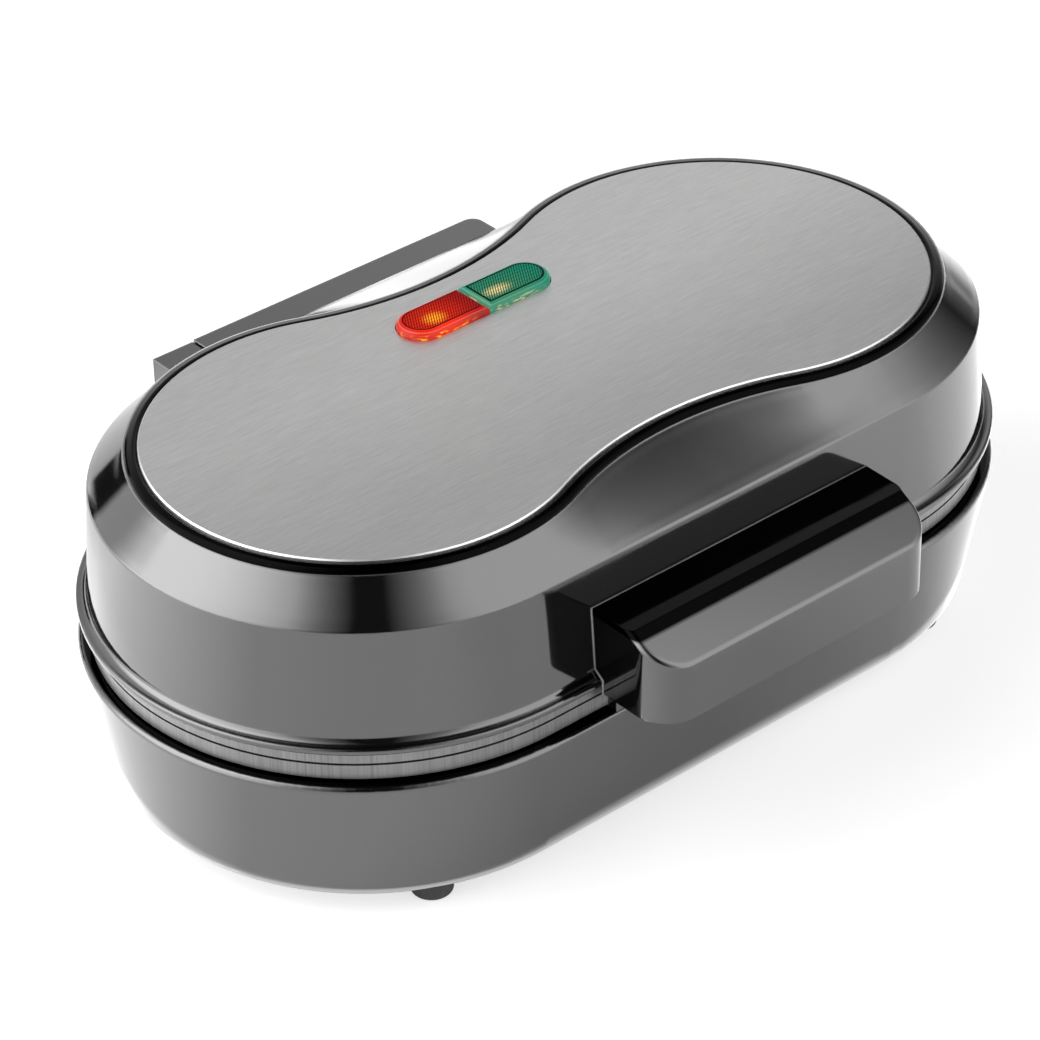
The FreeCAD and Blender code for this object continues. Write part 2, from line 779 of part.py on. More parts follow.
def make_terminal_block():
    body = new_body("terminal_block")
    x, y = z.terminal_across, z.terminal_along
    half_x, half_y = z.terminal_length / 2, z.terminal_depth / 2
    top = floor_level + z.terminal_height
    pad_loops(body, "block", [rectangle(x - half_x, y - half_y, x + half_x, y + half_y)], floor_level, top)
    wells = [(x + z.terminal_length * share, y, z.terminal_screw_radius) for share in (-0.3, 0, 0.3)]
    cut_loops(body, "wells", wells, floor_level + z.terminal_height / 2, top)


def make_cord_gland():
    """The grommet that the flat mains flex would pass through, on a flat pad at the rear."""
    body = new_body("cord_gland")
    face = -inlet_face()
    level = z.inlet_level
    pad_loops(body, "flange", [pill(ZERO, level, z.gland_flange_width, z.gland_flange_height)],
              face - z.gland_flange, face, "XZ_Plane")
    neck = pill(ZERO, level, z.gland_neck_width, z.gland_neck_height)
    pad_loops(body, "neck", [neck], face, face + z.gland_neck, "XZ_Plane")
    cut_loops(body, "flex_slot", [pill(ZERO, level, z.flex_width, z.flex_height)],
              face - z.gland_flange, face + z.gland_neck, "XZ_Plane")


def loft(body, name, sections, kind="AdditiveLoft"):
    sketches = []
    for i, (outline, level) in enumerate(sections):
        sketch = new_sketch(body, f"{name}_section_{i}", "XY_Plane", level)
        draw_loop(sketch, outline)
        sketches.append(sketch)
    return feature(body, kind, name, Profile=sketches[0], Sections=sketches[1:], Ruled=True)


ring_grow = z.panel_clearance + z.ring_width


def lens_outline(grow):
    """The slot that both lenses share, grown all round."""
    return pill(ZERO, z.lens_along, z.lens_length + 2 * grow, z.lens_width + 2 * grow)


def fixing_pair(level, radius):
    """Two circles, left and right of the middle, for the screws that come through the lid's wall."""
    return [(side * z.fixing_across, level, radius) for side in (-1, 1)]


def make_lid_shell():
    """The lid: an upright stadium wall on a flange, drawn in by a bevel to the waisted ring."""
    body = new_body("lid_shell")
    step = z.flange_level + z.flange_height
    lobed_solid(body, "skirt", [
        (ZERO, z.flange_level),
        (z.flange_radius, z.flange_level),
        (z.flange_radius, step),
        (wall_reach(step), step),
        (z.crease_radius, z.crease_level),
        (ZERO, z.crease_level),
    ])
    round_edges(body, "cove", z.flange_cove,
                lambda p: near(p.z, step) and near(lobe_radius_of(p), wall_reach(step)))
    round_edges(body, "flange_edge", z.flange_rounding,
                lambda p: near(p.z, step) and near(lobe_radius_of(p), z.flange_radius))
    loft(body, "bevel", [(stadium(z.crease_radius), z.crease_level), (peanut(ring_grow), z.bevel_level)])
    round_edges(body, "crease", z.crease_rounding,
                lambda p: near(p.z, z.crease_level) and near(lobe_radius_of(p), z.crease_radius))
    pad_loops(body, "ring", [peanut(ring_grow)], z.bevel_level, z.ring_level)
    round_edges(body, "ring_edge", z.ring_rounding, lambda p: near(p.z, z.ring_level))
    cut_loops(body, "panel_seat", [peanut(z.panel_clearance)], panel_seat, z.ring_level)
    slope_foot = (peanut(z.panel_clearance), z.ring_level - z.ring_slope * 2 / 3)
    slope_top = (peanut(z.panel_clearance + z.ring_slope), z.ring_level)
    loft(body, "ring_inner_slope", [slope_foot, slope_top], "SubtractiveLoft")
    bottom_inner = wall_reach(z.flange_level) - z.lid_wall
    crease_inner = z.crease_radius - z.lid_wall
    crease_under = z.crease_level - z.lid_wall / 2
    loft(body, "hollow", [(stadium(bottom_inner), z.flange_level), (stadium(crease_inner), crease_under),
                          (peanut(ring_grow - 1.5 * z.lid_wall), lid_ceiling)], "SubtractiveLoft")
    add_posts(body, 1, lid_ceiling + z.lid_top / 2)
    bore_posts(body, 1, panel_seat)
    cut_loops(body, "lens_window", [lens_outline(z.lens_clearance)], lid_ceiling, panel_seat)
    hole = z.fixing_radius + 2 * z.screw_clearance
    for name, level, reach in (("handle", z.handle_fixing_level, -1), ("block", z.block_fixing_level, 1)):
        outer = wall_reach(level) + z.lid_wall
        inner = outer - 3 * z.lid_wall
        low, high = (inner, outer) if reach < 0 else (-outer, -inner)
        cut_loops(body, f"{name}_fixing_holes", fixing_pair(level, hole), low, high, "XZ_Plane")
    outer = wall_reach(z.wire_hole_level) + z.lid_wall
    cut_loops(body, "wire_hole", [(wire_cover_middle, z.wire_hole_level, z.wire_hole_radius)],
              -outer, -outer + 3 * z.lid_wall, "XZ_Plane")


wire_cover_middle = -(z.block_half_width + z.arm_side_gap + z.wire_cover_width / 2)


def make_top_panel():
    """The brushed sheet, with a slot for the two lenses."""
    body = new_body("top_panel")
    pad_loops(body, "sheet", [peanut(ZERO)], panel_seat, z.panel_level)
    round_edges(body, "cut_edge", z.panel_edge_chamfer, lambda p: near(p.z, z.panel_level), "Chamfer")
    cut_loops(body, "lens_slot", [lens_outline(z.lens_clearance)], panel_seat, z.panel_level)


def half_pill(side, length, width, gap):
    """One half of the slot outline, cut square beside the middle."""
    r = width / 2
    flat = (length / 2 - r) * side
    y = z.lens_along
    return [
        (side * gap, y - r), (flat, y - r, r, side), (flat + side * r, y, r, side),
        (flat, y + r), (side * gap, y + r),
    ]


def make_lenses():
    for label, side in (("power_lens", -1), ("ready_lens", 1)):
        body = new_body(label)
        bottom = z.lens_level - z.lens_depth
        outer = half_pill(side, z.lens_length, z.lens_width, z.lens_clearance / 2)
        pad_loops(body, "cap", [outer], bottom, z.lens_level)
        round_edges(body, "crown", z.lens_rounding, lambda p: near(p.z, z.lens_level))
        walls = 2 * z.lens_wall
        inner = half_pill(side, z.lens_length - walls, z.lens_width - walls, z.lens_wall + z.lens_clearance)
        cut_loops(body, "well", [inner], bottom, z.lens_level - z.lens_wall)


holder_bottom = lid_ceiling - z.holder_height
lamp_level = holder_bottom + z.holder_wall + z.lamp_rise + z.lamp_radius


def lamp_middle(side):
    return side * z.lens_length / 4


def make_lamp_holder():
    """A tray under the lenses, with two cradles for each neon lamp."""
    body = new_body("lamp_holder")
    pad_loops(body, "tray", [lens_outline(z.holder_margin)], holder_bottom, lid_ceiling)
    inner = lens_outline(z.holder_margin - z.holder_wall)
    cut_loops(body, "well", [inner], holder_bottom + z.holder_wall, lid_ceiling)
    cradles = []
    for side in (-1, 1):
        for end in (-1, 1):
            x = lamp_middle(side) + end * z.lamp_length / 3
            half = z.cradle_thickness / 2
            front = z.lens_along - z.lamp_radius
            cradles.append(rectangle(x - half, front, x + half, front + 2 * z.lamp_radius))
    top = lamp_level - z.lamp_radius - z.seat_gap
    pad_loops(body, "cradles", cradles, holder_bottom + z.holder_wall / 2, top)


def make_lamps():
    for label, side in (("power_lamp", -1), ("ready_lamp", 1)):
        body = new_body(label)
        low = lamp_middle(side) - z.lamp_length / 2
        bulb = (z.lens_along, lamp_level, z.lamp_radius)
        high = low + z.lamp_length
        pad_loops(body, "bulb", [bulb], low, high, "YZ_Plane")
        round_edges(body, "glass_ends", z.lamp_radius / 2, lambda p: near(p.x, low) or near(p.x, high))


def make_handle():
    """The front grip: a hollow moulding that follows the lid's wall and flange, with a skirt."""
    body = new_body("handle")
    gap = z.seat_gap
    step = z.flange_level + z.flange_height + z.flange_cove
    nose = z.handle_reach
    section = [
        (-(wall_reach(z.handle_top) + gap), z.handle_top),
        (-(wall_reach(step) + gap), step),
        (-(z.flange_radius + gap), z.flange_level + z.flange_height),
        (-(z.flange_radius + gap), z.handle_bottom),
        (-nose, z.handle_bottom),
        (-nose, z.handle_nose_level),
        (-z.handle_shoulder_reach, z.handle_shoulder_level),
    ]
    half = z.handle_half_width
    pad_loops(body, "grip", [section], -half, half, "YZ_Plane")
    round_edges(body, "corners", z.handle_corner, lambda p: near(abs(p.x), half) and near(p.y, -nose))
    round_edges(body, "back_edges", z.handle_back_rounding,
                lambda p: p.y > 1 - z.flange_radius.value and p.z > step.value + 2)
    edge = z.handle_edge_rounding
    round_edges(body, "nose_edge", edge, lambda p: abs(p.z - z.handle_nose_level.value) < 6
                and p.y < -(z.handle_shoulder_reach.value + 1) and p.z > z.handle_bottom.value + 5)
    wall = z.handle_wall
    back = z.flange_radius + gap + wall
    front = nose - wall
    inside = z.handle_corner - wall
    hollow = [
        (wall - half, -back), (wall - half, inside - front, inside, 1), (wall - half + inside, -front),
        (half - wall - inside, -front, inside, 1), (half - wall, inside - front), (half - wall, -back),
    ]
    cut_loops(body, "hollow", [hollow], z.handle_bottom, z.handle_nose_level - wall)
    skirt_front = z.flange_radius + gap + z.skirt_thickness
    pad_loops(body, "skirt", [rectangle(-half + edge, -skirt_front, half - edge, -(z.flange_radius + gap))],
              z.skirt_bottom, z.handle_bottom)
    bosses = fixing_pair(z.handle_fixing_level, z.fixing_boss_radius)
    pad_loops(body, "fixing_bosses", bosses, back - wall, back + z.fixing_bite - wall, "XZ_Plane")
    holes = fixing_pair(z.handle_fixing_level, z.fixing_radius + z.screw_clearance / 2)
    reach = wall_reach(z.handle_fixing_level)
    cut_loops(body, "fixing_holes", holes, reach - z.lid_wall, reach + z.fixing_bite + gap, "XZ_Plane")


def make_fixing_screws(label, level, to_front):
    """Two screws from inside the lid's wall into the handle or the hinge block."""
    body = new_body(label)
    wall = wall_reach(level)
    seat = wall - z.lid_wall - z.fixing_seat_gap
    stations = {
        "heads": (z.fixing_head_radius, seat - z.fixing_head, seat),
        "shanks": (z.fixing_radius, seat, wall + z.fixing_bite),
    }
    for name, (radius, near_end, far_end) in stations.items():
        low, high = (near_end, far_end) if to_front else (-far_end, -near_end)
        pad_loops(body, name, fixing_pair(level, radius), low, high, "XZ_Plane")


def block_section(top, bottom):
    gap = z.seat_gap
    return [
        (wall_reach(bottom) + gap, bottom), (z.hinge_reach, bottom),
        (z.hinge_reach, top), (wall_reach(top) + gap, top),
    ]


def make_hinge_block():
    """The long cover behind the lid, with an arm at each end that turns on a hinge pin."""
    body = new_body("hinge_block")
    half = z.block_half_width
    pad_loops(body, "cover", [block_section(z.block_top, z.block_bottom)], -half, half, "YZ_Plane")
    round_edges(body, "rear_corners", z.block_rounding,
                lambda p: near(p.x, half) and near(p.y, z.hinge_reach))
    wall = z.block_wall
    front = wall_reach(z.block_bottom) + z.seat_gap + wall
    cut_loops(body, "hollow", [rectangle(-half + wall, front, half - wall, z.hinge_reach - wall)],
              z.block_bottom, z.block_top - wall)
    k = z.knuckle_radius
    arm_front = z.flange_radius + z.arm_side_gap
    arm = [
        (z.hinge_back - k, z.hinge_level), (z.hinge_back + k, z.hinge_level),
        (z.hinge_reach - wall / 2, z.block_bottom), (z.hinge_reach - wall / 2, z.block_bottom + 2 * wall),
        (arm_front, z.block_bottom + 2 * wall), (arm_front, z.block_bottom),
    ]
    for side, hand in ((-1, "left"), (1, "right")):
        low, high = hinge_span(side, arm_inner, z.arm_width)
        pad_loops(body, f"{hand}_arm", [arm], low, high, "YZ_Plane")
        pad_loops(body, f"{hand}_eye", [(z.hinge_back, z.hinge_level, k)], low, high, "YZ_Plane")
        bore = (z.hinge_back, z.hinge_level, z.pin_radius + z.pin_running_gap)
        cut_loops(body, f"{hand}_bore", [bore], low, high, "YZ_Plane")
    bosses = fixing_pair(z.block_fixing_level, z.fixing_boss_radius)
    pad_loops(body, "fixing_bosses", bosses, -(z.hinge_reach - wall / 2), -(front - wall / 2), "XZ_Plane")
    holes = fixing_pair(z.block_fixing_level, z.fixing_radius + z.screw_clearance / 2)
    reach = wall_reach(z.block_fixing_level)
    tip = reach + z.fixing_bite + z.seat_gap
    cut_loops(body, "fixing_holes", holes, -tip, z.lid_wall - reach, "XZ_Plane")


def make_wire_cover():
    """The short hood left of the hinge block, over the hole where the wires enter the lid."""
    body = new_body("wire_cover")
    right = -(z.block_half_width + z.arm_side_gap)
    left = right - z.wire_cover_width
    wall = z.wire_cover_wall
    top = z.block_top - z.wire_cover_step
    pad_loops(body, "hood", [block_section(top, z.block_bottom)], left, right, "YZ_Plane")
    front = wall_reach(z.block_bottom)
    cut_loops(body, "hollow", [rectangle(left + wall, front - wall, right - wall, z.hinge_reach - wall)],
              z.block_bottom, top - wall)


make_base_shell()
make_feet()
make_hinge_pins()
make_cord_gland()
make_terminal_block()
make_thermal_fuse()
for place, side in (("lower", -1), ("upper", 1)):
    make_cooking_plate(f"{place}_cooking_plate", side)
    make_element(f"{place}_heating_element", side)
    make_reflector(f"{place}_reflector", side)
    make_plate_screws(f"{place}_plate_screws", side)
    make_thermostat(f"{place}_thermostat", side)
make_lid_shell()
make_top_panel()
make_lenses()
make_lamp_holder()
make_lamps()
make_handle()
make_fixing_screws("handle_screws", z.handle_fixing_level, True)
make_hinge_block()
make_fixing_screws("hinge_block_screws", z.block_fixing_level, False)
make_wire_cover()

doc.recompute()
for item in doc.Objects:
    if "Invalid" in item.State or "Error" in item.State:
        raise RuntimeError(f"{item.Name} failed: {item.State}")
for part in parts:
    if part.Shape.isNull() or not part.Shape.isValid():
        raise RuntimeError(f"{part.Label} has no valid shape")

os.makedirs("parts", exist_ok=True)
for part in parts:
    part.Shape.exportStep(f"parts/{part.Label}.step")
    box = part.Shape.BoundBox
    print(f"{part.Label}: {len(part.Shape.Solids)} solids, {part.Shape.Volume:.0f} mm3, "
          f"x {box.XMin:.1f} to {box.XMax:.1f}, y {box.YMin:.1f} to {box.YMax:.1f}, "
          f"z {box.ZMin:.1f} to {box.ZMax:.1f}")
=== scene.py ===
# %% [markdown]
# # A two-ring donut maker
# This lesson dresses a construction model of a donut maker: two gloss black shells that close
# on a pair of cast cooking plates, with a brushed panel and two signal lenses on the lid.
# The construction model gives every shape, in metres, so this file mostly gives finishes.
# A shape is made here only where the finish needs more than a smooth solid.

# %% Load the frame
import math

import bmesh
import bpy
from mathutils import Matrix, Vector


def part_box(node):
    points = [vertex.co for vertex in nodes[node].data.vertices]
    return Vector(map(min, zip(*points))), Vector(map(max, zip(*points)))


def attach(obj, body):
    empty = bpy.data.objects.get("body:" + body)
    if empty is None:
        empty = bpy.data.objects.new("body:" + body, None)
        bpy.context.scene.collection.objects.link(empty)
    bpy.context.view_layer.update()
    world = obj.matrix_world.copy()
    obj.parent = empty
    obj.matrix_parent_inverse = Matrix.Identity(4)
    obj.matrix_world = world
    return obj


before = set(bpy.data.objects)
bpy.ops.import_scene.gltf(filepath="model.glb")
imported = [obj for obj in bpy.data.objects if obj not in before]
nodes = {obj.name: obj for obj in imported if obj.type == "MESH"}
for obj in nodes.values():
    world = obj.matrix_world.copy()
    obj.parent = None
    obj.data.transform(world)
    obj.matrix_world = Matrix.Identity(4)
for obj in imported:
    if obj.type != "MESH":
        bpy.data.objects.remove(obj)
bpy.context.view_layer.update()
MM = 0.001

# %% [markdown]
# ## Small helpers for shader nodes
# A material in Blender is a graph of nodes. Building one in code takes the same three moves
# each time: add a node, set its values, link its sockets. Written out in full, a finish would
# fill a page, so short helpers make these moves. Each recipe below then shows what its finish
# is made of and little else.

# %% Helpers that add and link nodes


def add_node(tree, kind, inputs=None, **settings):
    """Adds a node, sets its properties and then its input sockets, by name or number."""
    made = tree.nodes.new("ShaderNode" + kind)
    for name, value in settings.items():
        setattr(made, name, value)
    for socket, value in (inputs or {}).items():
        if isinstance(value, bpy.types.NodeSocket):
            tree.links.new(value, made.inputs[socket])
        else:
            made.inputs[socket].default_value = value
    return made


def feed(tree, sockets, **values):
    """Links values to the inputs of a shader or to the end of a group, with _ for spaces."""
    for socket, value in values.items():
        tree.links.new(value, sockets[socket.replace("_", " ")])


print("node helpers ready")

# %% Helpers for materials and groups


def new_material(name, **constants):
    """A material whose Principled shader has these constants, with _ for spaces."""
    material = bpy.data.materials.new(name)
    material.use_nodes = True
    shader = material.node_tree.nodes["Principled BSDF"]
    for socket, value in constants.items():
        shader.inputs[socket.replace("_", " ")].default_value = value
    return material, material.node_tree, shader


def new_group(name, inputs, outputs):
    """An empty shader node group, with its input values and the kinds of its outputs."""
    group = bpy.data.node_groups.new(name, "ShaderNodeTree")
    for socket, (kind, value) in inputs.items():
        made = group.interface.new_socket(socket, in_out="INPUT", socket_type="NodeSocket" + kind)
        made.default_value = value
    for socket, kind in outputs.items():
        group.interface.new_socket(socket, in_out="OUTPUT", socket_type="NodeSocket" + kind)
    start = group.nodes.new("NodeGroupInput")
    end = group.nodes.new("NodeGroupOutput")
    return group, start.outputs, end.inputs


def place_group(tree, group, **values):
    """The outputs of a node group that is placed in a material with its own values."""
    made = tree.nodes.new("ShaderNodeGroup")
    made.node_tree = group
    for socket, value in values.items():
        made.inputs[socket.replace("_", " ")].default_value = value
    return made.outputs


print("material and group helpers ready")

# %% Helpers for places and numbers
IN_PLAN = (1.0, 1.0, 0.0)


def object_place(tree):
    """The place of the point that is being shaded, in the object's own metres."""
    return add_node(tree, "TexCoord").outputs["Object"]


def split(tree, vector):
    """The X, Y and Z of a vector."""
    return add_node(tree, "SeparateXYZ", {0: vector}).outputs


def upward(tree):
    """How much a surface faces up, from 1 for level ground to 0 for a wall."""
    return split(tree, add_node(tree, "NewGeometry").outputs["Normal"])["Z"]


def calculate(tree, operation, *values):
    """A Math node on sockets or numbers."""
    return add_node(tree, "Math", dict(enumerate(values)), operation=operation).outputs["Value"]


def combine(tree, operation, *vectors):
    """A Vector Math node, which answers with a number for a length or a dot product."""
    made = add_node(tree, "VectorMath", dict(enumerate(vectors)), operation=operation)
    return made.outputs["Value" if operation in ("LENGTH", "DOT_PRODUCT") else "Vector"]


def scaled(tree, vector, factor):
    """A vector made longer or shorter."""
    made = add_node(tree, "VectorMath", {0: vector, "Scale": factor}, operation="SCALE")
    return made.outputs["Vector"]


def fade(tree, value, start, end, low=0.0, high=1.0, curve="LINEAR"):
    """Goes from low to high while the value goes from start to end, and no further."""
    ends = {"Value": value, "From Min": start, "From Max": end, "To Min": low, "To Max": high}
    return add_node(tree, "MapRange", ends, interpolation_type=curve).outputs["Result"]


print("number helpers ready")

# %% Helpers for colours and textures


def grey(level):
    """A neutral colour of this brightness."""
    return (level, level, level)


def mix_colours(tree, factor, first, second, blend="MIX"):
    """The colour that goes from the first to the second as the factor goes from 0 to 1."""
    made = add_node(tree, "Mix", {"Factor": factor}, data_type="RGBA", blend_type=blend)
    for socket, colour in ((made.inputs[6], first), (made.inputs[7], second)):
        if isinstance(colour, bpy.types.NodeSocket):
            tree.links.new(colour, socket)
        else:
            socket.default_value = (*colour, 1.0)
    return made.outputs[2]


def ramp(tree, factor, low, high, start=0.3, end=0.7):
    """A Color Ramp from one grey to another, by default over the usual reach of a noise."""
    made = add_node(tree, "ValToRGB", {"Fac": factor})
    stops = ((start, low), (end, high))
    for element, (place, level) in zip(made.color_ramp.elements, stops):
        element.position = place
        element.color = (*grey(level), 1.0)
    return made.outputs["Color"]


def noise(tree, place, scale, detail, **more):
    """The grey value of a Noise Texture."""
    values = {"Vector": place, "Scale": scale, "Detail": detail, **more}
    return add_node(tree, "TexNoise", values).outputs["Fac"]


def bumped(tree, height, strength, distance, **more):
    """The normal of a surface that a Bump node tilts by a height."""
    values = {"Strength": strength, "Distance": distance, "Height": height, **more}
    return add_node(tree, "Bump", values).outputs["Normal"]


print("colour and texture helpers ready")

# %% [markdown]
# ## Grain that several finishes share
# Three effects come back in more than one finish. Moulded plastic is never quite flat: it has
# a faint waviness and some dust. Brushed metal has long scratches in one direction. Cast and
# rubber parts have a fine pebble. Pictures of such surfaces could be wrapped round the parts,
# but noise in the object's own space needs no unwrapping and never repeats. Each effect is a
# node group, built once and placed with its own values. A group gives only masks and heights
# that vary over the surface, and the shader itself stays in the material.

# %% Moulded skin: waviness, dust and handling marks
moulded_skin, inputs, outputs = new_group(
    "moulded_skin",
    {
        "Wave Scale": ("Float", 60.0),
        "Dust Scale": ("Float", 900.0),
        "Gloss": ("Float", 0.08),
        "Spread": ("Float", 0.05),
    },
    {"Height": "Float", "Roughness": "Float", "Dust": "Float"},
)
tree = moulded_skin
place = object_place(tree)
wave = noise(tree, place, scale=inputs["Wave Scale"], detail=1.0)
specks = noise(tree, place, scale=inputs["Dust Scale"], detail=2.0)
dust = fade(tree, specks, start=0.68, end=0.78)
smears = noise(tree, place, scale=35.0, detail=4.0, Distortion=0.6)
smear = fade(tree, smears, start=0.45, end=0.75)
gloss = calculate(tree, "MULTIPLY_ADD", smear, inputs["Spread"], inputs["Gloss"])
feed(tree, outputs, Height=wave, Roughness=gloss, Dust=dust)
print("group", moulded_skin.name)

# %% Brushed grain: long scratches along one direction
brushed_grain, inputs, outputs = new_group(
    "brushed_grain",
    {"Stretch": ("Vector", (6.0, 1500.0, 1500.0)), "Cloud Scale": ("Float", 14.0)},
    {"Scratches": "Float", "Fine": "Float", "Cloud": "Float"},
)
tree = brushed_grain
place = object_place(tree)
long_place = combine(tree, "MULTIPLY", place, inputs["Stretch"])
coarse = noise(tree, long_place, scale=1.0, detail=3.0, Roughness=0.65)
finer = noise(tree, long_place, scale=3.2, detail=2.0)
cloud = noise(tree, place, scale=inputs["Cloud Scale"], detail=2.0)
feed(tree, outputs, Scratches=coarse, Fine=finer, Cloud=cloud)
print("group", brushed_grain.name)

# %% Pebble: the fine grain of cast, coated and rubber parts
pebble, inputs, outputs = new_group(
    "pebble",
    {"Grain": ("Float", 2500.0), "Patch": ("Float", 40.0)},
    {"Height": "Float", "Patches": "Float", "Specks": "Float"},
)
tree = pebble
place = object_place(tree)
grain = noise(tree, place, scale=inputs["Grain"], detail=3.0)
mottle = noise(tree, place, scale=inputs["Patch"], detail=4.0)
cells = add_node(tree, "TexVoronoi", {"Vector": place, "Scale": inputs["Grain"]}, feature="F1")
specks = fade(tree, cells.outputs["Distance"], start=0.22, end=0.08)
feed(tree, outputs, Height=grain, Patches=mottle, Specks=specks)
print("group", pebble.name)

# %% [markdown]
# ## Ring, land and brow
# Three narrow zones of the shells are painted shade, a dark mirror where all else mirrors the
# room:
# the ring round the panel, the land inside the base's rim and the handle's brow. They could be
# separate materials, but the shells are single solids, so masks by height and slope find the
# zones.
# The ring also falls away to the outside. Its solid is flat there, so the normal leans: the
# way out is worked out from the pull of the two lobe centres, each weaker with distance.

# %% Ring: the way out from the two lobes
lobe_offset = 60.0 * MM
pull_power = 4.0
panel_low, panel_high = (Vector(corner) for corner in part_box("top_panel"))
panel_middle = (panel_low.y + panel_high.y) / 2
ring_trim, inputs, outputs = new_group(
    "ring_trim", {"Fall": ("Float", 0.45)}, {"Ring": "Float", "Slant": "Vector"})
tree = ring_trim
place = object_place(tree)
pulls = []
for side in (-1, 1):
    centre = Vector((side * lobe_offset, panel_middle, 0.0))
    level = combine(tree, "MULTIPLY", combine(tree, "SUBTRACT", place, centre), IN_PLAN)
    nearness = calculate(tree, "DIVIDE", lobe_offset, combine(tree, "LENGTH", level))
    pulls.append(scaled(tree, level, calculate(tree, "POWER", nearness, pull_power)))
outwards = combine(tree, "NORMALIZE", combine(tree, "ADD", *pulls))
print("lobe centres", round(lobe_offset, 4), "to each side of y", round(panel_middle, 4))

# %% Ring: its mask and its fall
ring_foot = 96.5 * MM
ring_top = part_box("lid_shell")[1][2]
height = split(tree, place)["Z"]
# The ring's mask marks where the gloss black is painted shade.
ring = fade(tree, height, start=ring_foot, end=ring_foot + 0.2 * MM)
high = fade(tree, height, start=ring_top - 0.45 * MM, end=ring_top - 0.2 * MM)
flat = fade(tree, upward(tree), start=0.3, end=0.6)
top_face = calculate(tree, "MULTIPLY", high, flat)
fall = calculate(tree, "MULTIPLY", top_face, inputs["Fall"])
feed(tree, outputs, Ring=ring, Slant=scaled(tree, outwards, fall))
print("group", ring_trim.name, "at", round(ring_top, 4))

# %% Painted shade zones: the base's land and the handle's brow
grip_low, grip_high = (Vector(corner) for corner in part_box("handle"))
land_level = 44.9 * MM
brow_level = 73.3 * MM
joint_gap = 0.2 * MM
painted_shade_zones, inputs, outputs = new_group(
    "painted_shade_zones", {"Soft": ("Float", 0.5 * MM)}, {"Zone": "Float"})
tree = painted_shade_zones
axes = split(tree, object_place(tree))
off_land = calculate(tree, "ABSOLUTE", calculate(tree, "SUBTRACT", axes["Z"], land_level))
at_land = fade(tree, off_land, start=0.7 * MM, end=0.4 * MM)
faces_up = fade(tree, upward(tree), start=0.85, end=0.97)
land = calculate(tree, "MULTIPLY", at_land, faces_up)
over_brow = calculate(tree, "SUBTRACT", axes["Z"], brow_level)
softened = calculate(tree, "DIVIDE", over_brow, inputs["Soft"])
at_brow = add_node(tree, "Clamp", {"Value": softened}).outputs["Result"]
in_front = calculate(tree, "LESS_THAN", axes["Y"], grip_high.y - joint_gap)
brow = calculate(tree, "MULTIPLY", in_front, at_brow)
feed(tree, outputs, Zone=calculate(tree, "MAXIMUM", land, brow))
print("group", painted_shade_zones.name, "in front of y", round(grip_high.y, 4))

# %% [markdown]
# ## Gloss black shells
# The shells, handle and hinge cover are gloss black mouldings. A dark colour alone looks dead:
# what the eye reads is the reflection of the white room, so the shader has a strong clear
# surface and almost no colour of its own. Moulded edges are round, and the construction model
# leaves them sharp. Rounding the solids would add thousands of faces, so the Bevel node
# softens the shading instead, most of all along the folds of the lid's bevel. A black surface
# seen in another one is nearly black again. Metallic does that: it turns the clear surface
# off and leaves a mirror as dark as the base colour. It also gives the painted shade of three
# zones.

# %% Soft folds: edges rounded a little, and the bevel's folds more
fold_low, fold_high = 87.0 * MM, 96.0 * MM
fold_fade = 1.5 * MM
edge_radius, fold_radius = 0.7 * MM, 5.0 * MM
soft_folds, inputs, outputs = new_group("soft_folds", {}, {"Normal": "Vector"})
tree = soft_folds
height = split(tree, object_place(tree))["Z"]
fold_middle, fold_half = (fold_low + fold_high) / 2, (fold_high - fold_low) / 2
from_fold = calculate(tree, "ABSOLUTE", calculate(tree, "SUBTRACT", height, fold_middle))
at_fold = fade(tree, from_fold, start=fold_half, end=fold_half - fold_fade)
small_round = add_node(tree, "Bevel", {"Radius": edge_radius}, samples=6)
large_round = add_node(tree, "Bevel", {"Radius": fold_radius}, samples=12)
rounded = add_node(tree, "Mix", {"Factor": at_fold}, data_type="VECTOR")
tree.links.new(small_round.outputs["Normal"], rounded.inputs[4])
tree.links.new(large_round.outputs["Normal"], rounded.inputs[5])
feed(tree, outputs, Normal=rounded.outputs[1])
print("group", soft_folds.name)

# %% Gloss black
gloss_black, tree, shader = new_material("gloss_black", IOR=2.45)
skin = place_group(tree, moulded_skin, Wave_Scale=45.0, Gloss=0.06, Spread=0.06)
dusty = mix_colours(tree, skin["Dust"], (0.0035, 0.0035, 0.0037), grey(0.010))
edges = place_group(tree, soft_folds)["Normal"]
wavy = bumped(tree, skin["Height"], strength=0.02, distance=0.3 * MM, Normal=edges)
trim = place_group(tree, ring_trim)
leaning = combine(tree, "NORMALIZE", combine(tree, "ADD", wavy, trim["Slant"]))
# Painted shade: on the ring, land and brow, Metallic leaves a mirror as dark as the base colour.
painted_land_and_brow_shade = place_group(tree, painted_shade_zones)["Zone"]
all_painted_shade = calculate(tree, "MAXIMUM", trim["Ring"], painted_land_and_brow_shade)
seen_in_gloss = add_node(tree, "LightPath").outputs["Is Glossy Ray"]
black = calculate(tree, "MAXIMUM", seen_in_gloss, all_painted_shade)
feed(tree, shader.inputs,
     Base_Color=dusty, Roughness=skin["Roughness"], Metallic=black, Normal=leaning)
print("material", gloss_black.name)

# %% [markdown]
# ## Brushed panel
# The lid's panel is thin sheet, brushed along its length. Scratches scatter light across their
# direction, so a highlight on such a sheet is a soft band. Scratches fine enough to do that
# can't be modelled or drawn one by one. Anisotropic reflection gives the band instead, and
# the brushed group gives the scratches that the eye can follow. The punched edge is bare and
# bright: it is found by its slope, from the normal's height.

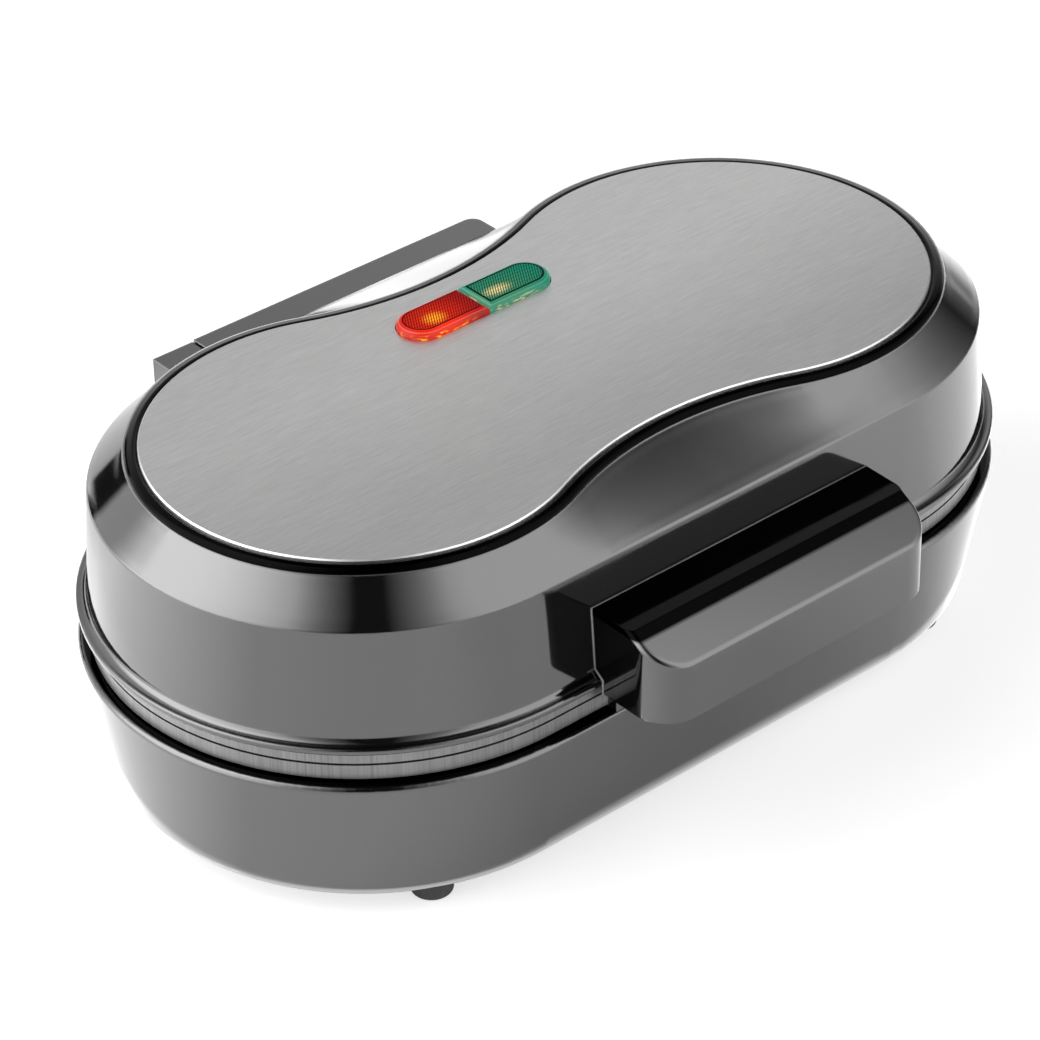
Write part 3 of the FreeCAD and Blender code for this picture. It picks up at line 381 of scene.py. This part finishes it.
# %% Brushed steel panel
along_panel = (1.0, 0.0, 0.0)
cloud_share = 0.4
panel_steel, tree, shader = new_material("panel_steel", Metallic=1.0, Anisotropic=0.7)
brushing = place_group(tree, brushed_grain, Stretch=(130.0, 2600.0, 2600.0), Cloud_Scale=9.0)
marks = mix_colours(tree, brushing["Scratches"], grey(0.43), (0.68, 0.68, 0.675))
depth = split(tree, object_place(tree))["Y"]
# Painted light: the panel is lighter towards the rear, over a cloud of tone that varies at random.
painted_rear_light = fade(tree, depth, start=panel_low.y, end=panel_high.y)
cloud_and_painted_light = calculate(tree, "MULTIPLY_ADD", brushing["Cloud"], cloud_share, painted_rear_light)
tone = ramp(tree, cloud_and_painted_light, low=0.80, high=1.02, start=0.35, end=0.85)
face_colour = mix_colours(tree, 1.0, marks, tone, "MULTIPLY")
is_edge = fade(tree, upward(tree), start=0.95, end=0.85)
sheet_normal = add_node(tree, "NewGeometry").outputs["Normal"]
feed(tree, shader.inputs,
     Base_Color=mix_colours(tree, is_edge, face_colour, grey(0.95)),
     Roughness=ramp(tree, brushing["Fine"], low=0.30, high=0.46),
     Normal=bumped(tree, brushing["Scratches"], strength=0.10, distance=0.05 * MM),
     Tangent=combine(tree, "CROSS_PRODUCT", sheet_normal, along_panel))
print("material", panel_steel.name)

# %% [markdown]
# ## Cast plates
# The cooking plates are cast aluminium. Their faces wear a black non-stick coating with fine
# pale specks, and their outer edge is machined bare, with marks that run up and down. Two
# materials on chosen faces could do this, but one with a mask also gives the soft line where
# the coating ends. The edge is found by distance: both plates are two half rounds joined by
# straight sides, so the distance from the line between the two centres tells how far out a
# point lies.

# %% Distance from the middle line
middle_y = (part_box("upper_cooking_plate")[0][1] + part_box("upper_cooking_plate")[1][1]) / 2
lobe_distance, inputs, outputs = new_group("lobe_distance", {}, {"Distance": "Float"})
tree = lobe_distance
axes = split(tree, object_place(tree))
beyond = calculate(tree, "SUBTRACT", calculate(tree, "ABSOLUTE", axes["X"]), lobe_offset)
sideways = calculate(tree, "MAXIMUM", beyond, 0.0)
forwards = calculate(tree, "SUBTRACT", axes["Y"], middle_y)
forwards_squared = calculate(tree, "MULTIPLY", forwards, forwards)
both_squared = calculate(tree, "MULTIPLY_ADD", sideways, sideways, forwards_squared)
feed(tree, outputs, Distance=calculate(tree, "SQRT", both_squared))
print("group", lobe_distance.name, "about y", round(middle_y, 4))

# %% Cast plate with a coated face and a bare edge
plate_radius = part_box("upper_cooking_plate")[1][0] - lobe_offset
cast_plate, tree, shader = new_material("cast_plate", IOR=1.6)
coat = place_group(tree, pebble, Grain=1400.0, Patch=30.0)
brushing = place_group(tree, brushed_grain, Stretch=(1800.0, 1800.0, 14.0), Cloud_Scale=30.0)
from_middle = place_group(tree, lobe_distance)["Distance"]
bare = fade(tree, from_middle, start=plate_radius - 0.9 * MM, end=plate_radius - 0.5 * MM)
coated = mix_colours(tree, coat["Specks"], grey(0.012), grey(0.10))
metal = mix_colours(tree, brushing["Scratches"], grey(0.14), (0.46, 0.46, 0.455))
relief = mix_colours(tree, bare, coat["Height"], brushing["Scratches"])
feed(tree, shader.inputs,
     Base_Color=mix_colours(tree, bare, coated, metal),
     Metallic=bare,
     Roughness=ramp(tree, coat["Patches"], low=0.34, high=0.44),
     Normal=bumped(tree, relief, strength=0.15, distance=0.05 * MM))
print("material", cast_plate.name)

# %% [markdown]
# ## Signal lenses
# Each lens is a tinted clear cap with a field of small prisms moulded under it, which spreads
# the light of a neon lamp. The rim round the field is smooth. Clear plastic over modelled
# prisms would be true but grainy to render, so the cap's light and shade are painted: a smooth
# coat on top, and below it a field of diamonds with painted shade between their ridges and
# painted light that sparkles above the lamp. The field is found by distance, as on the plates.

# %% Prism field: its outline and its diamonds
prism_field, inputs, outputs = new_group(
    "prism_field",
    {
        "Pitch": ("Float", 0.8 * MM),
        "Middle": ("Vector", (0.0, 0.0, 0.0)),
        "Straight": ("Float", 17.0 * MM),
        "Inner Radius": ("Float", 4.4 * MM),
        "Seam": ("Float", 1.4 * MM),
        "Border Width": ("Float", 0.35 * MM),
        "Lamp": ("Vector", (0.0, 0.0, 0.0)),
        "Lamp Reach": ("Vector", (6.0 * MM, 3.0 * MM, 1.0)),
    },
    {"Field": "Float", "Border": "Float", "Diamond": "Float", "Glow": "Float", "Halo": "Float"},
)
tree = prism_field
place = object_place(tree)
axes = split(tree, combine(tree, "SUBTRACT", place, inputs["Middle"]))
ridge_lean, half_pitch = 0.65, 0.5
to_ridge = []
for lean in (ridge_lean, -ridge_lean):
    aslant = calculate(tree, "MULTIPLY_ADD", axes["Y"], lean, axes["X"])
    in_pitches = calculate(tree, "DIVIDE", aslant, inputs["Pitch"])
    to_ridge.append(calculate(tree, "PINGPONG", in_pitches, half_pitch))
diamond = fade(tree, calculate(tree, "MINIMUM", *to_ridge), start=0.05, end=0.30)
outward = calculate(tree, "ABSOLUTE", axes["X"])
past_straight = calculate(tree, "SUBTRACT", outward, inputs["Straight"])
round_end = calculate(tree, "MAXIMUM", past_straight, 0.0)
across_squared = calculate(tree, "POWER", axes["Y"], 2.0)
both_squared = calculate(tree, "MULTIPLY_ADD", round_end, round_end, across_squared)
to_rim = calculate(tree, "SUBTRACT", inputs["Inner Radius"], calculate(tree, "SQRT", both_squared))
to_seam = calculate(tree, "SUBTRACT", outward, inputs["Seam"])
inward = calculate(tree, "MINIMUM", to_rim, to_seam)
feed(tree, outputs,
     Field=calculate(tree, "GREATER_THAN", inward, 0.0),
     Border=calculate(tree, "LESS_THAN", inward, inputs["Border Width"]),
     Diamond=diamond)
print("group", prism_field.name)

# %% Prism field: the lamp below it
from_lamp = combine(tree, "SUBTRACT", place, inputs["Lamp"])
share = combine(tree, "DIVIDE", from_lamp, inputs["Lamp Reach"])
away = combine(tree, "LENGTH", combine(tree, "MULTIPLY", share, IN_PLAN))
feed(tree, outputs,
     Glow=fade(tree, away, start=1.0, end=0.15, curve="SMOOTHSTEP"),
     Halo=fade(tree, away, start=3.0, end=0.6, curve="SMOOTHSTEP"))
print("outputs", [socket.name for socket in outputs if socket.name])

# %% Colours and lights of a lens
shoulder_slope = 0.74
glint_stretch = (500.0, 500.0, 1800.0)


def lens_colour(tree, field, slope, colours):
    """Prisms with painted edge shade, and a rim with a side painted paler and a painted highlight.
    """
    # Painted shade between the prisms' ridges.
    prisms = mix_colours(tree, field["Diamond"], colours["deep"], colours["bright"])
    # Painted shade: the field's edge band is darkened with the deep colour.
    prisms_with_painted_shade = mix_colours(tree, field["Border"], prisms, colours["deep"])
    # The rim's side is painted paler than its top, as the light through its thin wall.
    on_side = fade(tree, slope, start=0.85, end=0.35)
    rounded = mix_colours(tree, on_side, colours["rim"], colours["side"])
    # Painted highlight: a pale line on the rim where it turns from top to side.
    off_shoulder = calculate(tree, "ABSOLUTE", calculate(tree, "SUBTRACT", slope, shoulder_slope))
    shoulder = fade(tree, off_shoulder, start=0.12, end=0.02, high=0.4)
    smooth = mix_colours(tree, shoulder, rounded, colours["shoulder"])
    return mix_colours(tree, field["Field"], smooth, prisms_with_painted_shade)


def lens_light(tree, field, slope, lights):
    """The lamp's light, which sparkles in the prisms and glints along the lens's foot."""
    # The lamp's light is painted on the lens as emission: a halo, sparkle in the prisms and
    # glints.
    spread = mix_colours(tree, field["Halo"], lights["far"], lights["near"])
    lit_prisms = mix_colours(tree, field["Diamond"], grey(0.0), spread)
    sharp = calculate(tree, "POWER", field["Diamond"], 2.0)
    sparkle = calculate(tree, "MULTIPLY", field["Glow"], sharp)
    prism_light = mix_colours(tree, sparkle, lit_prisms, lights["glow"])
    # The painted shade at the field's edge also takes the lamp's light out.
    light_with_painted_shade = mix_colours(tree, field["Border"], prism_light, grey(0.0))
    drawn_out = combine(tree, "MULTIPLY", object_place(tree), glint_stretch)
    dashes = fade(tree, noise(tree, drawn_out, scale=1.0, detail=1.0), start=0.52, end=0.66)
    low_side = fade(tree, slope, start=0.45, end=0.2)
    near_lamp = calculate(tree, "MULTIPLY", low_side, field["Halo"])
    glint = calculate(tree, "MULTIPLY", near_lamp, dashes)
    smooth_light = mix_colours(tree, glint, spread, lights["glow"])
    return mix_colours(tree, field["Field"], smooth_light, light_with_painted_shade)


print("lens recipes ready")

# %% Lens material
lens_low = Vector(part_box("power_lens")[0])
lens_high = Vector(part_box("ready_lens")[1])
lens_middle = (lens_low + lens_high) / 2
lens_half_length = (lens_high[0] - lens_low[0]) / 2
lens_radius = (lens_high[1] - lens_low[1]) / 2
smooth_rim = 1.5 * MM
rim_coat, field_coat = 0.25, 0.02


def lens_material(name, lamp, lamp_reach, border, colours, lights):
    """A tinted lens with a smooth rim and a field of prisms that glows above its lamp."""
    material, tree, shader = new_material(
        name, Roughness=0.15, IOR=1.1, Coat_Roughness=0.02, Emission_Strength=1.0)
    field = place_group(
        tree, prism_field, Middle=lens_middle, Straight=lens_half_length - lens_radius,
        Inner_Radius=lens_radius - smooth_rim, Border_Width=border,
        Lamp=(*lamp, 0.0), Lamp_Reach=lamp_reach)
    slope = upward(tree)
    coat = calculate(tree, "MULTIPLY_ADD", field["Field"], field_coat - rim_coat, rim_coat)
    feed(tree, shader.inputs,
         Base_Color=lens_colour(tree, field, slope, colours),
         Coat_Weight=coat,
         Emission_Color=lens_light(tree, field, slope, lights))
    return material


print("lens middle", [round(v, 4) for v in lens_middle])

# %% Red and green lenses
lamp_line = lens_middle.y - 1.6 * MM
red_lens = lens_material(
    "red_lens",
    lamp=(lens_middle.x - 14.5 * MM, lamp_line),
    lamp_reach=(4.6 * MM, 3.6 * MM, 1.0),
    border=0.4 * MM,
    colours={"rim": (0.40, 0.006, 0.004), "side": (0.36, 0.035, 0.028),
             "shoulder": (0.75, 0.25, 0.21), "deep": (0.06, 0.0, 0.0),
             "bright": (0.50, 0.004, 0.002)},
    lights={"far": (0.14, 0.0, 0.0), "near": (0.72, 0.025, 0.0), "glow": (1.5, 0.75, 0.03)},
)
green_lens = lens_material(
    "green_lens",
    lamp=(lens_middle.x + 6.5 * MM, lamp_line),
    lamp_reach=(6.0 * MM, 2.9 * MM, 1.0),
    border=0.6 * MM,
    colours={"rim": (0.0, 0.11, 0.07), "side": (0.05, 0.17, 0.13),
             "shoulder": (0.20, 0.50, 0.40), "deep": (0.0, 0.012, 0.008),
             "bright": (0.0, 0.25, 0.15)},
    lights={"far": (0.0, 0.15, 0.09), "near": (0.06, 0.17, 0.07), "glow": (1.5, 0.95, 0.40)},
)
print("materials", red_lens.name, green_lens.name)

# %% [markdown]
# ## Finishes of the hidden and small parts
# Rubber feet, ceramic blocks, screws and heating elements show when the lid is open, from
# below, or through a section. Plain colours would do for a glance, but up close each would
# look like the same plastic. They are quick to finish because they use the groups above: two
# recipes serve them all, and each part only has its own colours and values.

# %% Pebbled parts: rubber, dark thermoset, white ceramic


def pebbled_finish(name, dark, light, rough, ior=1.5, grain=1200.0, patch=120.0,
                   strength=0.15, distance=0.05 * MM):
    """A matt part with a pebbled skin and a mottled colour."""
    material, tree, shader = new_material(name, IOR=ior)
    skin = place_group(tree, pebble, Grain=grain, Patch=patch)
    feed(tree, shader.inputs,
         Base_Color=mix_colours(tree, skin["Patches"], dark, light),
         Roughness=ramp(tree, skin["Height"], *rough),
         Normal=bumped(tree, skin["Height"], strength, distance))
    return material


soft_rubber = pebbled_finish(
    "soft_rubber", grey(0.012), (0.028, 0.028, 0.027), rough=(0.55, 0.75),
    ior=1.45, grain=1800.0, patch=80.0, strength=0.25, distance=0.08 * MM)
thermoset_brown = pebbled_finish(
    "thermoset_brown", (0.045, 0.026, 0.016), (0.085, 0.050, 0.030), rough=(0.39, 0.51))
ceramic_white = pebbled_finish(
    "ceramic_white", (0.66, 0.65, 0.61), (0.80, 0.79, 0.76), rough=(0.34, 0.46))
print("materials", soft_rubber.name, thermoset_brown.name, ceramic_white.name)

# %% Metals inside: element sheath, sheet aluminium, zinc screws


def grained_metal(name, dark, light, rough, stretch):
    """A bare metal with drawn or rolled marks and a cloudy tone."""
    material, tree, shader = new_material(name, Metallic=1.0)
    marks = place_group(tree, brushed_grain, Stretch=stretch, Cloud_Scale=60.0)
    feed(tree, shader.inputs,
         Base_Color=mix_colours(tree, marks["Cloud"], dark, light),
         Roughness=ramp(tree, marks["Fine"], *rough),
         Normal=bumped(tree, marks["Scratches"], strength=0.12, distance=0.05 * MM))
    return material


element_sheath = grained_metal(
    "element_sheath", (0.10, 0.085, 0.07), (0.22, 0.20, 0.18),
    rough=(0.37, 0.53), stretch=(400.0, 400.0, 400.0))
sheet_aluminium = grained_metal(
    "sheet_aluminium", grey(0.62), (0.82, 0.82, 0.81),
    rough=(0.30, 0.46), stretch=(12.0, 900.0, 900.0))
zinc_steel = grained_metal(
    "zinc_steel", (0.50, 0.50, 0.48), (0.68, 0.68, 0.66),
    rough=(0.22, 0.38), stretch=(700.0, 700.0, 700.0))
print("materials", element_sheath.name, sheet_aluminium.name, zinc_steel.name)

# %% Lamp glass
lamp_glass, tree, shader = new_material(
    "lamp_glass", Transmission_Weight=1.0, IOR=1.47, Emission_Strength=0.6)
skin = place_group(tree, moulded_skin, Wave_Scale=300.0, Gloss=0.03, Spread=0.05)
feed(tree, shader.inputs,
     Base_Color=mix_colours(tree, skin["Dust"], (1.0, 0.94, 0.88), (0.85, 0.75, 0.65)),
     Roughness=skin["Roughness"],
     Emission_Color=mix_colours(tree, skin["Height"], (1.0, 0.30, 0.04), (1.0, 0.50, 0.12)))
print("material", lamp_glass.name)

# %% [markdown]
# ## Dressing the nodes
# Each node of the construction model keeps its shape and gets its finish in its material
# slots. That could be done node by node, but one table says which finish goes where, and a
# count at the end shows that nothing is left grey.

# %% Give every node its finish
finishes = {
    gloss_black: ["base_shell", "lid_shell", "handle", "hinge_block", "wire_cover"],
    panel_steel: ["top_panel"],
    cast_plate: ["lower_cooking_plate", "upper_cooking_plate"],
    red_lens: ["power_lens"],
    green_lens: ["ready_lens"],
    soft_rubber: ["foot_front_left", "foot_front_right", "foot_rear_left", "foot_rear_right",
                  "cord_gland"],
    element_sheath: ["lower_heating_element", "upper_heating_element"],
    sheet_aluminium: ["lower_reflector", "upper_reflector"],
    zinc_steel: ["hinge_pin_left", "hinge_pin_right", "lower_plate_screws", "upper_plate_screws",
                 "handle_screws", "hinge_block_screws"],
    thermoset_brown: ["lower_thermostat", "upper_thermostat"],
    ceramic_white: ["terminal_block", "thermal_fuse", "lamp_holder"],
    lamp_glass: ["power_lamp", "ready_lamp"],
}
for finish, names in finishes.items():
    for name in names:
        slots = nodes[name].data.materials
        slots.clear()
        slots.append(finish)
undressed = set(nodes) - {name for names in finishes.values() for name in names}
print(f"{len(nodes) - len(undressed)} nodes dressed, left over: {sorted(undressed)}")

# %% [markdown]
# ## Bead along the handle's rear edge
# Where the grip meets the lid's wall, a thin moulded bead closes the joint and catches a line
# of light. A bright line in the handle's material would have no thickness, so it is a fine
# tube swept along the edge: up one end, over the top and down the other. A curve with a round
# bevel makes it, and the result is kept as a mesh.

# %% Bead finish: a satin grey, painted highlight in place of the bead's black
bead_painted_highlight, tree, shader = new_material("bead_painted_highlight", IOR=1.9)
skin = place_group(tree, moulded_skin, Wave_Scale=200.0, Gloss=0.22, Spread=0.15)
feed(tree, shader.inputs,
     Base_Color=mix_colours(tree, skin["Height"], grey(0.12), grey(0.34)),
     Roughness=skin["Roughness"])
print("material", bead_painted_highlight.name)

# %% Path of the bead
rear_zone = 5.0 * MM
end_zone = 0.01 * MM
corner_drop = 0.2 * MM
left_end = [
    vertex.co.copy() for vertex in nodes["handle"].data.vertices
    if vertex.co.x < grip_low.x + end_zone and vertex.co.y > grip_high.y - rear_zone
]
rear_outline = [
    (point.y, point.z) for point in sorted(left_end, key=lambda point: point.z)
    if point.z < grip_high.z - corner_drop
]
bead_path = [(grip_low.x, y, z) for y, z in rear_outline]
bead_path += [(grip_high.x, y, z) for y, z in reversed(rear_outline)]
print("bead path of", len(bead_path), "points")

# %% Handle bead
bead_radius = 0.3 * MM
bead_curve = bpy.data.curves.new("handle_bead", "CURVE")
bead_curve.dimensions = "3D"
bead_curve.bevel_depth = bead_radius
bead_curve.bevel_resolution = 3
bead_curve.use_fill_caps = True
spline = bead_curve.splines.new("POLY")
spline.points.add(len(bead_path) - 1)
for point, place in zip(spline.points, bead_path):
    point.co = (*place, 1.0)
bead_sketch = bpy.data.objects.new("handle_bead_sketch", bead_curve)
bead_mesh = bpy.data.meshes.new_from_object(bead_sketch)
bpy.data.objects.remove(bead_sketch)
bead_mesh.shade_smooth()
bead_mesh.materials.clear()
bead_mesh.materials.append(bead_painted_highlight)
handle_bead = bpy.data.objects.new("handle_bead", bead_mesh)
bpy.context.scene.collection.objects.link(handle_bead)
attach(handle_bead, "lid")
print("bead of", len(bead_mesh.polygons), "faces")

# %% [markdown]
# ## Floor
# The photograph is a pack shot: a pale floor that runs on into a white room, with a soft
# shadow under the object. A lit white plane does that. In the gloss black walls, though, an
# even floor would show as an even grey. So rays that come from a reflection see a floor that
# is brighter beside and behind the object, brighter to the right, and brightest in a narrow
# band right under the edge of the base, which draws that edge as a light line. From below
# the floor is clear, so that the feet and vents can be looked at.

# %% Floor sheet
floor_half = 6.0
corners = [(x * floor_half, y * floor_half, 0) for x, y in ((-1, -1), (1, -1), (1, 1), (-1, 1))]
floor_mesh = bpy.data.meshes.new("floor")
floor_mesh.from_pydata(corners, [], [(0, 1, 2, 3)])
floor = bpy.data.objects.new("floor", floor_mesh)
bpy.context.scene.collection.objects.link(floor)
print("floor", 2 * floor_half, "m wide")

# %% Light in the floor beside and behind the object
back_direction = (0.26, 0.966, 0.0)
floor_white, tree, shader = new_material(
    "floor_white", Base_Color=(*grey(0.62), 1.0), Roughness=0.6, Emission_Strength=1.0)
place = object_place(tree)
to_back = combine(tree, "DOT_PRODUCT", combine(tree, "NORMALIZE", place), back_direction)
back_light = fade(tree, to_back, start=-0.4, end=0.45, low=0.14, high=1.2)
from_middle = place_group(tree, lobe_distance)["Distance"]
near_light = fade(tree, from_middle, start=110.0 * MM, end=160.0 * MM, low=1.5, high=1.0)
side_light = calculate(tree, "MULTIPLY", back_light, near_light)
axes = split(tree, place)
sideways = calculate(tree, "ABSOLUTE", axes["X"])
at_side = fade(tree, sideways, start=50.0 * MM, end=120.0 * MM)
not_far = fade(tree, axes["Y"], start=220.0 * MM, end=150.0 * MM)
far_back = fade(tree, axes["Y"], start=300.0 * MM, end=380.0 * MM)
beside_part = calculate(tree, "MULTIPLY", at_side, calculate(tree, "MAXIMUM", not_far, far_back))
print("floor lit towards", back_direction)

# %% Light in the floor at the right and under the edge
right_lean = 0.5
edge_strength = 1.3
to_right = calculate(tree, "MULTIPLY_ADD", axes["Y"], right_lean, axes["X"])
right_light = fade(tree, to_right, start=-30.0 * MM, end=130.0 * MM, low=0.18, high=0.63)
broad_light = calculate(tree, "MULTIPLY_ADD", side_light, beside_part, right_light)
outside = fade(tree, from_middle, start=62.0 * MM, end=66.0 * MM)
inside = fade(tree, from_middle, start=73.0 * MM, end=71.0 * MM)
edge_light = calculate(tree, "MULTIPLY", outside, inside)
floor_light = calculate(tree, "MULTIPLY_ADD", edge_light, edge_strength, broad_light)
seen_in_gloss = add_node(tree, "LightPath").outputs["Is Glossy Ray"]
feed(tree, shader.inputs,
     Emission_Color=mix_colours(tree, seen_in_gloss, grey(0.66), floor_light))
print("edge light", edge_strength)

# %% A floor that is clear from below


def show_mix(tree, factor, first, second):
    """Shows a mix of two shaders as the surface of a material."""
    mixed = add_node(tree, "MixShader", {0: factor, 1: first.outputs[0], 2: second.outputs[0]})
    tree.links.new(mixed.outputs[0], tree.nodes["Material Output"].inputs["Surface"])


from_below = add_node(tree, "NewGeometry").outputs["Backfacing"]
show_mix(tree, from_below, shader, add_node(tree, "BsdfTransparent"))
floor.data.materials.append(floor_white)
print("material", floor_white.name)

# %% [markdown]
# ## White room
# The room behind the object is plain white. It could be walls, but Blender's world does it
# with no geometry. Where the camera, a mirror or glass looks at it, it is full white. As a
# light it is weaker, so that pale colours come out about as they are written.

# %% World
room_light = 0.45
world = bpy.data.worlds.new("white_room")
bpy.context.scene.world = world
world.use_nodes = True
tree = world.node_tree
rays = add_node(tree, "LightPath").outputs
mirrored = calculate(tree, "MAXIMUM", rays["Is Glossy Ray"], rays["Is Transmission Ray"])
seen = calculate(tree, "MAXIMUM", rays["Is Camera Ray"], mirrored)
background = tree.nodes["Background"].inputs
feed(tree, background, Strength=fade(tree, seen, start=0.0, end=1.0, low=room_light, high=1.0))
background["Color"].default_value = (*grey(1.0), 1.0)
print("world", world.name, "lights with", room_light)

# %% [markdown]
# ## Soft boxes and black cards
# In a room that is white all round, gloss black turns an even grey and loses its form. So a
# photographer hangs bright soft boxes and black cards where a light or dark reflection should
# run over the bevel. Blender's area lamps have hard edges in a mirror, so each one here is a
# patch of a large ball round the object. It fades at its edges, as such a sheet does far out
# of focus, and it is hidden from the camera but not from reflections.

# %% Patch material
half_width = 0.5
cloth_black = (*grey(0.01), 1.0)


def patch_material(name, fades, brightness=0.0, cover=1.0):
    """A lit or black sheet that fades out over these shares of its width and height."""
    material = bpy.data.materials.new(name)
    material.use_nodes = True
    tree = material.node_tree
    tree.nodes.remove(tree.nodes["Principled BSDF"])
    if brightness:
        curve, sheet = "SMOOTHSTEP", add_node(tree, "Emission", {"Strength": brightness})
    else:
        curve, sheet = "LINEAR", add_node(tree, "BsdfDiffuse", {"Color": cloth_black})
    across = split(tree, add_node(tree, "UVMap").outputs["UV"])
    spans = []
    for axis, soft, most in (("X", fades[0], cover), ("Y", fades[1], 1.0)):
        to_edge = calculate(tree, "PINGPONG", across[axis], half_width)
        spans.append(fade(tree, to_edge, start=0.0, end=soft, high=most, curve=curve))
    shown = calculate(tree, "MULTIPLY", *spans)
    show_mix(tree, shown, add_node(tree, "BsdfTransparent"), sheet)
    return material


front_cloth = patch_material("front_cloth", fades=(0.40, 0.20))
right_cloth = patch_material("right_cloth", fades=(0.50, 0.20), cover=0.97)
small_cloth = patch_material("small_cloth", fades=(0.14, 0.14))
soft_cloth = patch_material("soft_cloth", fades=(0.28, 0.28))
thin_cloth = patch_material("thin_cloth", fades=(0.50, 0.50), cover=0.45)
left_box_light = patch_material("left_box_light", fades=(0.45, 0.25), brightness=3.45)
right_box_light = patch_material("right_box_light", fades=(0.35, 0.25), brightness=1.65)
print("cloths and lights ready")

# %% Hang a sheet


def hang_patch(name, material, corner_at, steps=16):
    """Hangs a sheet with its points at corner_at(u, v), where u and v are also its UV map."""
    mesh = bmesh.new()
    uv = mesh.loops.layers.uv.new("UVMap")
    grid = {(i, k): mesh.verts.new(corner_at(i / steps, k / steps))
            for i in range(steps + 1) for k in range(steps + 1)}
    for i in range(steps):
        for k in range(steps):
            places = [(i, k), (i + 1, k), (i + 1, k + 1), (i, k + 1)]
            face = mesh.faces.new([grid[place] for place in places])
            for loop, place in zip(face.loops, places):
                loop[uv].uv = (place[0] / steps, place[1] / steps)
    data = bpy.data.meshes.new(name)
    mesh.to_mesh(data)
    mesh.free()
    data.materials.append(material)
    patch = bpy.data.objects.new(name, data)
    patch.visible_camera = False
    patch.visible_shadow = False
    bpy.context.scene.collection.objects.link(patch)
    return patch


print("sheets can be hung")

# %% Patches of a ball
studio_radius = 1.6


def direction(azimuth, elevation):
    """The unit vector towards a compass angle, with 0 behind the object and 90 at its right."""
    a, e = math.radians(azimuth), math.radians(elevation)
    return Vector((math.sin(a) * math.cos(e), math.cos(a) * math.cos(e), math.sin(e)))


def between(share, start, middle, end):
    """Goes from start to end by way of a middle, which need not lie halfway."""
    if share < 0.5:
        return start + (middle - start) * 2 * share
    return middle + (end - middle) * (2 * share - 1)


def ball_patch(name, material, azimuths, elevations, nearer=1.0):
    """A patch between two compass angles and two heights, each with the place of its middle."""
    def corner_at(u, v):
        return direction(between(u, *azimuths), between(v, *elevations)) * studio_radius * nearer
    return hang_patch(name, material, corner_at)


patches = [
    ball_patch("left_box", left_box_light, (-128, -50, -27), (-25, 30, 85)),
    ball_patch("right_box", right_box_light, (96, 152, 200), (-25, 30, 85)),
    ball_patch("card_front", front_cloth, (-178, -139, -104), (-20, 35, 90), nearer=0.9),
    ball_patch("card_right", right_cloth, (66, 95, 140), (-30, 30, 90), nearer=0.25),
    ball_patch("card_back", thin_cloth, (-20, 26, 62), (10, 33, 62), nearer=0.8),
    ball_patch("card_behind", small_cloth, (-17, -6, 5), (-4, 8, 21), nearer=0.9),
]
print("patches", [patch.name for patch in patches])

# %% Card overhead
overhead_height, overhead_half = 1.2, 0.65


def overhead_corner(u, v):
    """A point of a level square above the object."""
    return Vector(((2 * u - 1) * overhead_half, (2 * v - 1) * overhead_half, overhead_height))


card_overhead = hang_patch("card_overhead", soft_cloth, overhead_corner)
print(card_overhead.name, "at", overhead_height, "m")

# %% [markdown]
# ## Camera
# The camera was found by fitting a pinhole to the outlines in the photograph: where it looks,
# from which side and height, how far away, and how long the lens is. Moving it by eye would
# also work, but a wrong lens length bends the whole shape, and the eye then blames the model.

# %% Camera
aim = Vector((6.855, 24.246, 31.9)) * MM
turn, tilt, roll = (math.radians(angle) for angle in (-40.161, 34.228, -1.034))
camera_distance = 1093.8 * MM
focal_pixels, photo_pixels, sensor_width = 4100.58, 1040.0, 36.0
back = Vector((math.sin(turn) * math.cos(tilt), -math.cos(turn) * math.cos(tilt), math.sin(tilt)))
level_right = Vector((math.cos(turn), math.sin(turn), 0.0))
level_up = back.cross(level_right)
right = level_right * math.cos(roll) + level_up * math.sin(roll)
up = level_up * math.cos(roll) - level_right * math.sin(roll)
camera_data = bpy.data.cameras.new("photo_camera")
camera_data.sensor_width = sensor_width
camera_data.lens = sensor_width * focal_pixels / photo_pixels
camera = bpy.data.objects.new("photo_camera", camera_data)
turned = Matrix((right, up, back)).transposed().to_4x4()
camera.matrix_world = Matrix.Translation(aim + back * camera_distance) @ turned
bpy.context.scene.collection.objects.link(camera)
bpy.context.scene.camera = camera
bpy.context.scene.view_settings.view_transform = "Standard"
print("camera at", [round(v, 3) for v in camera.location])
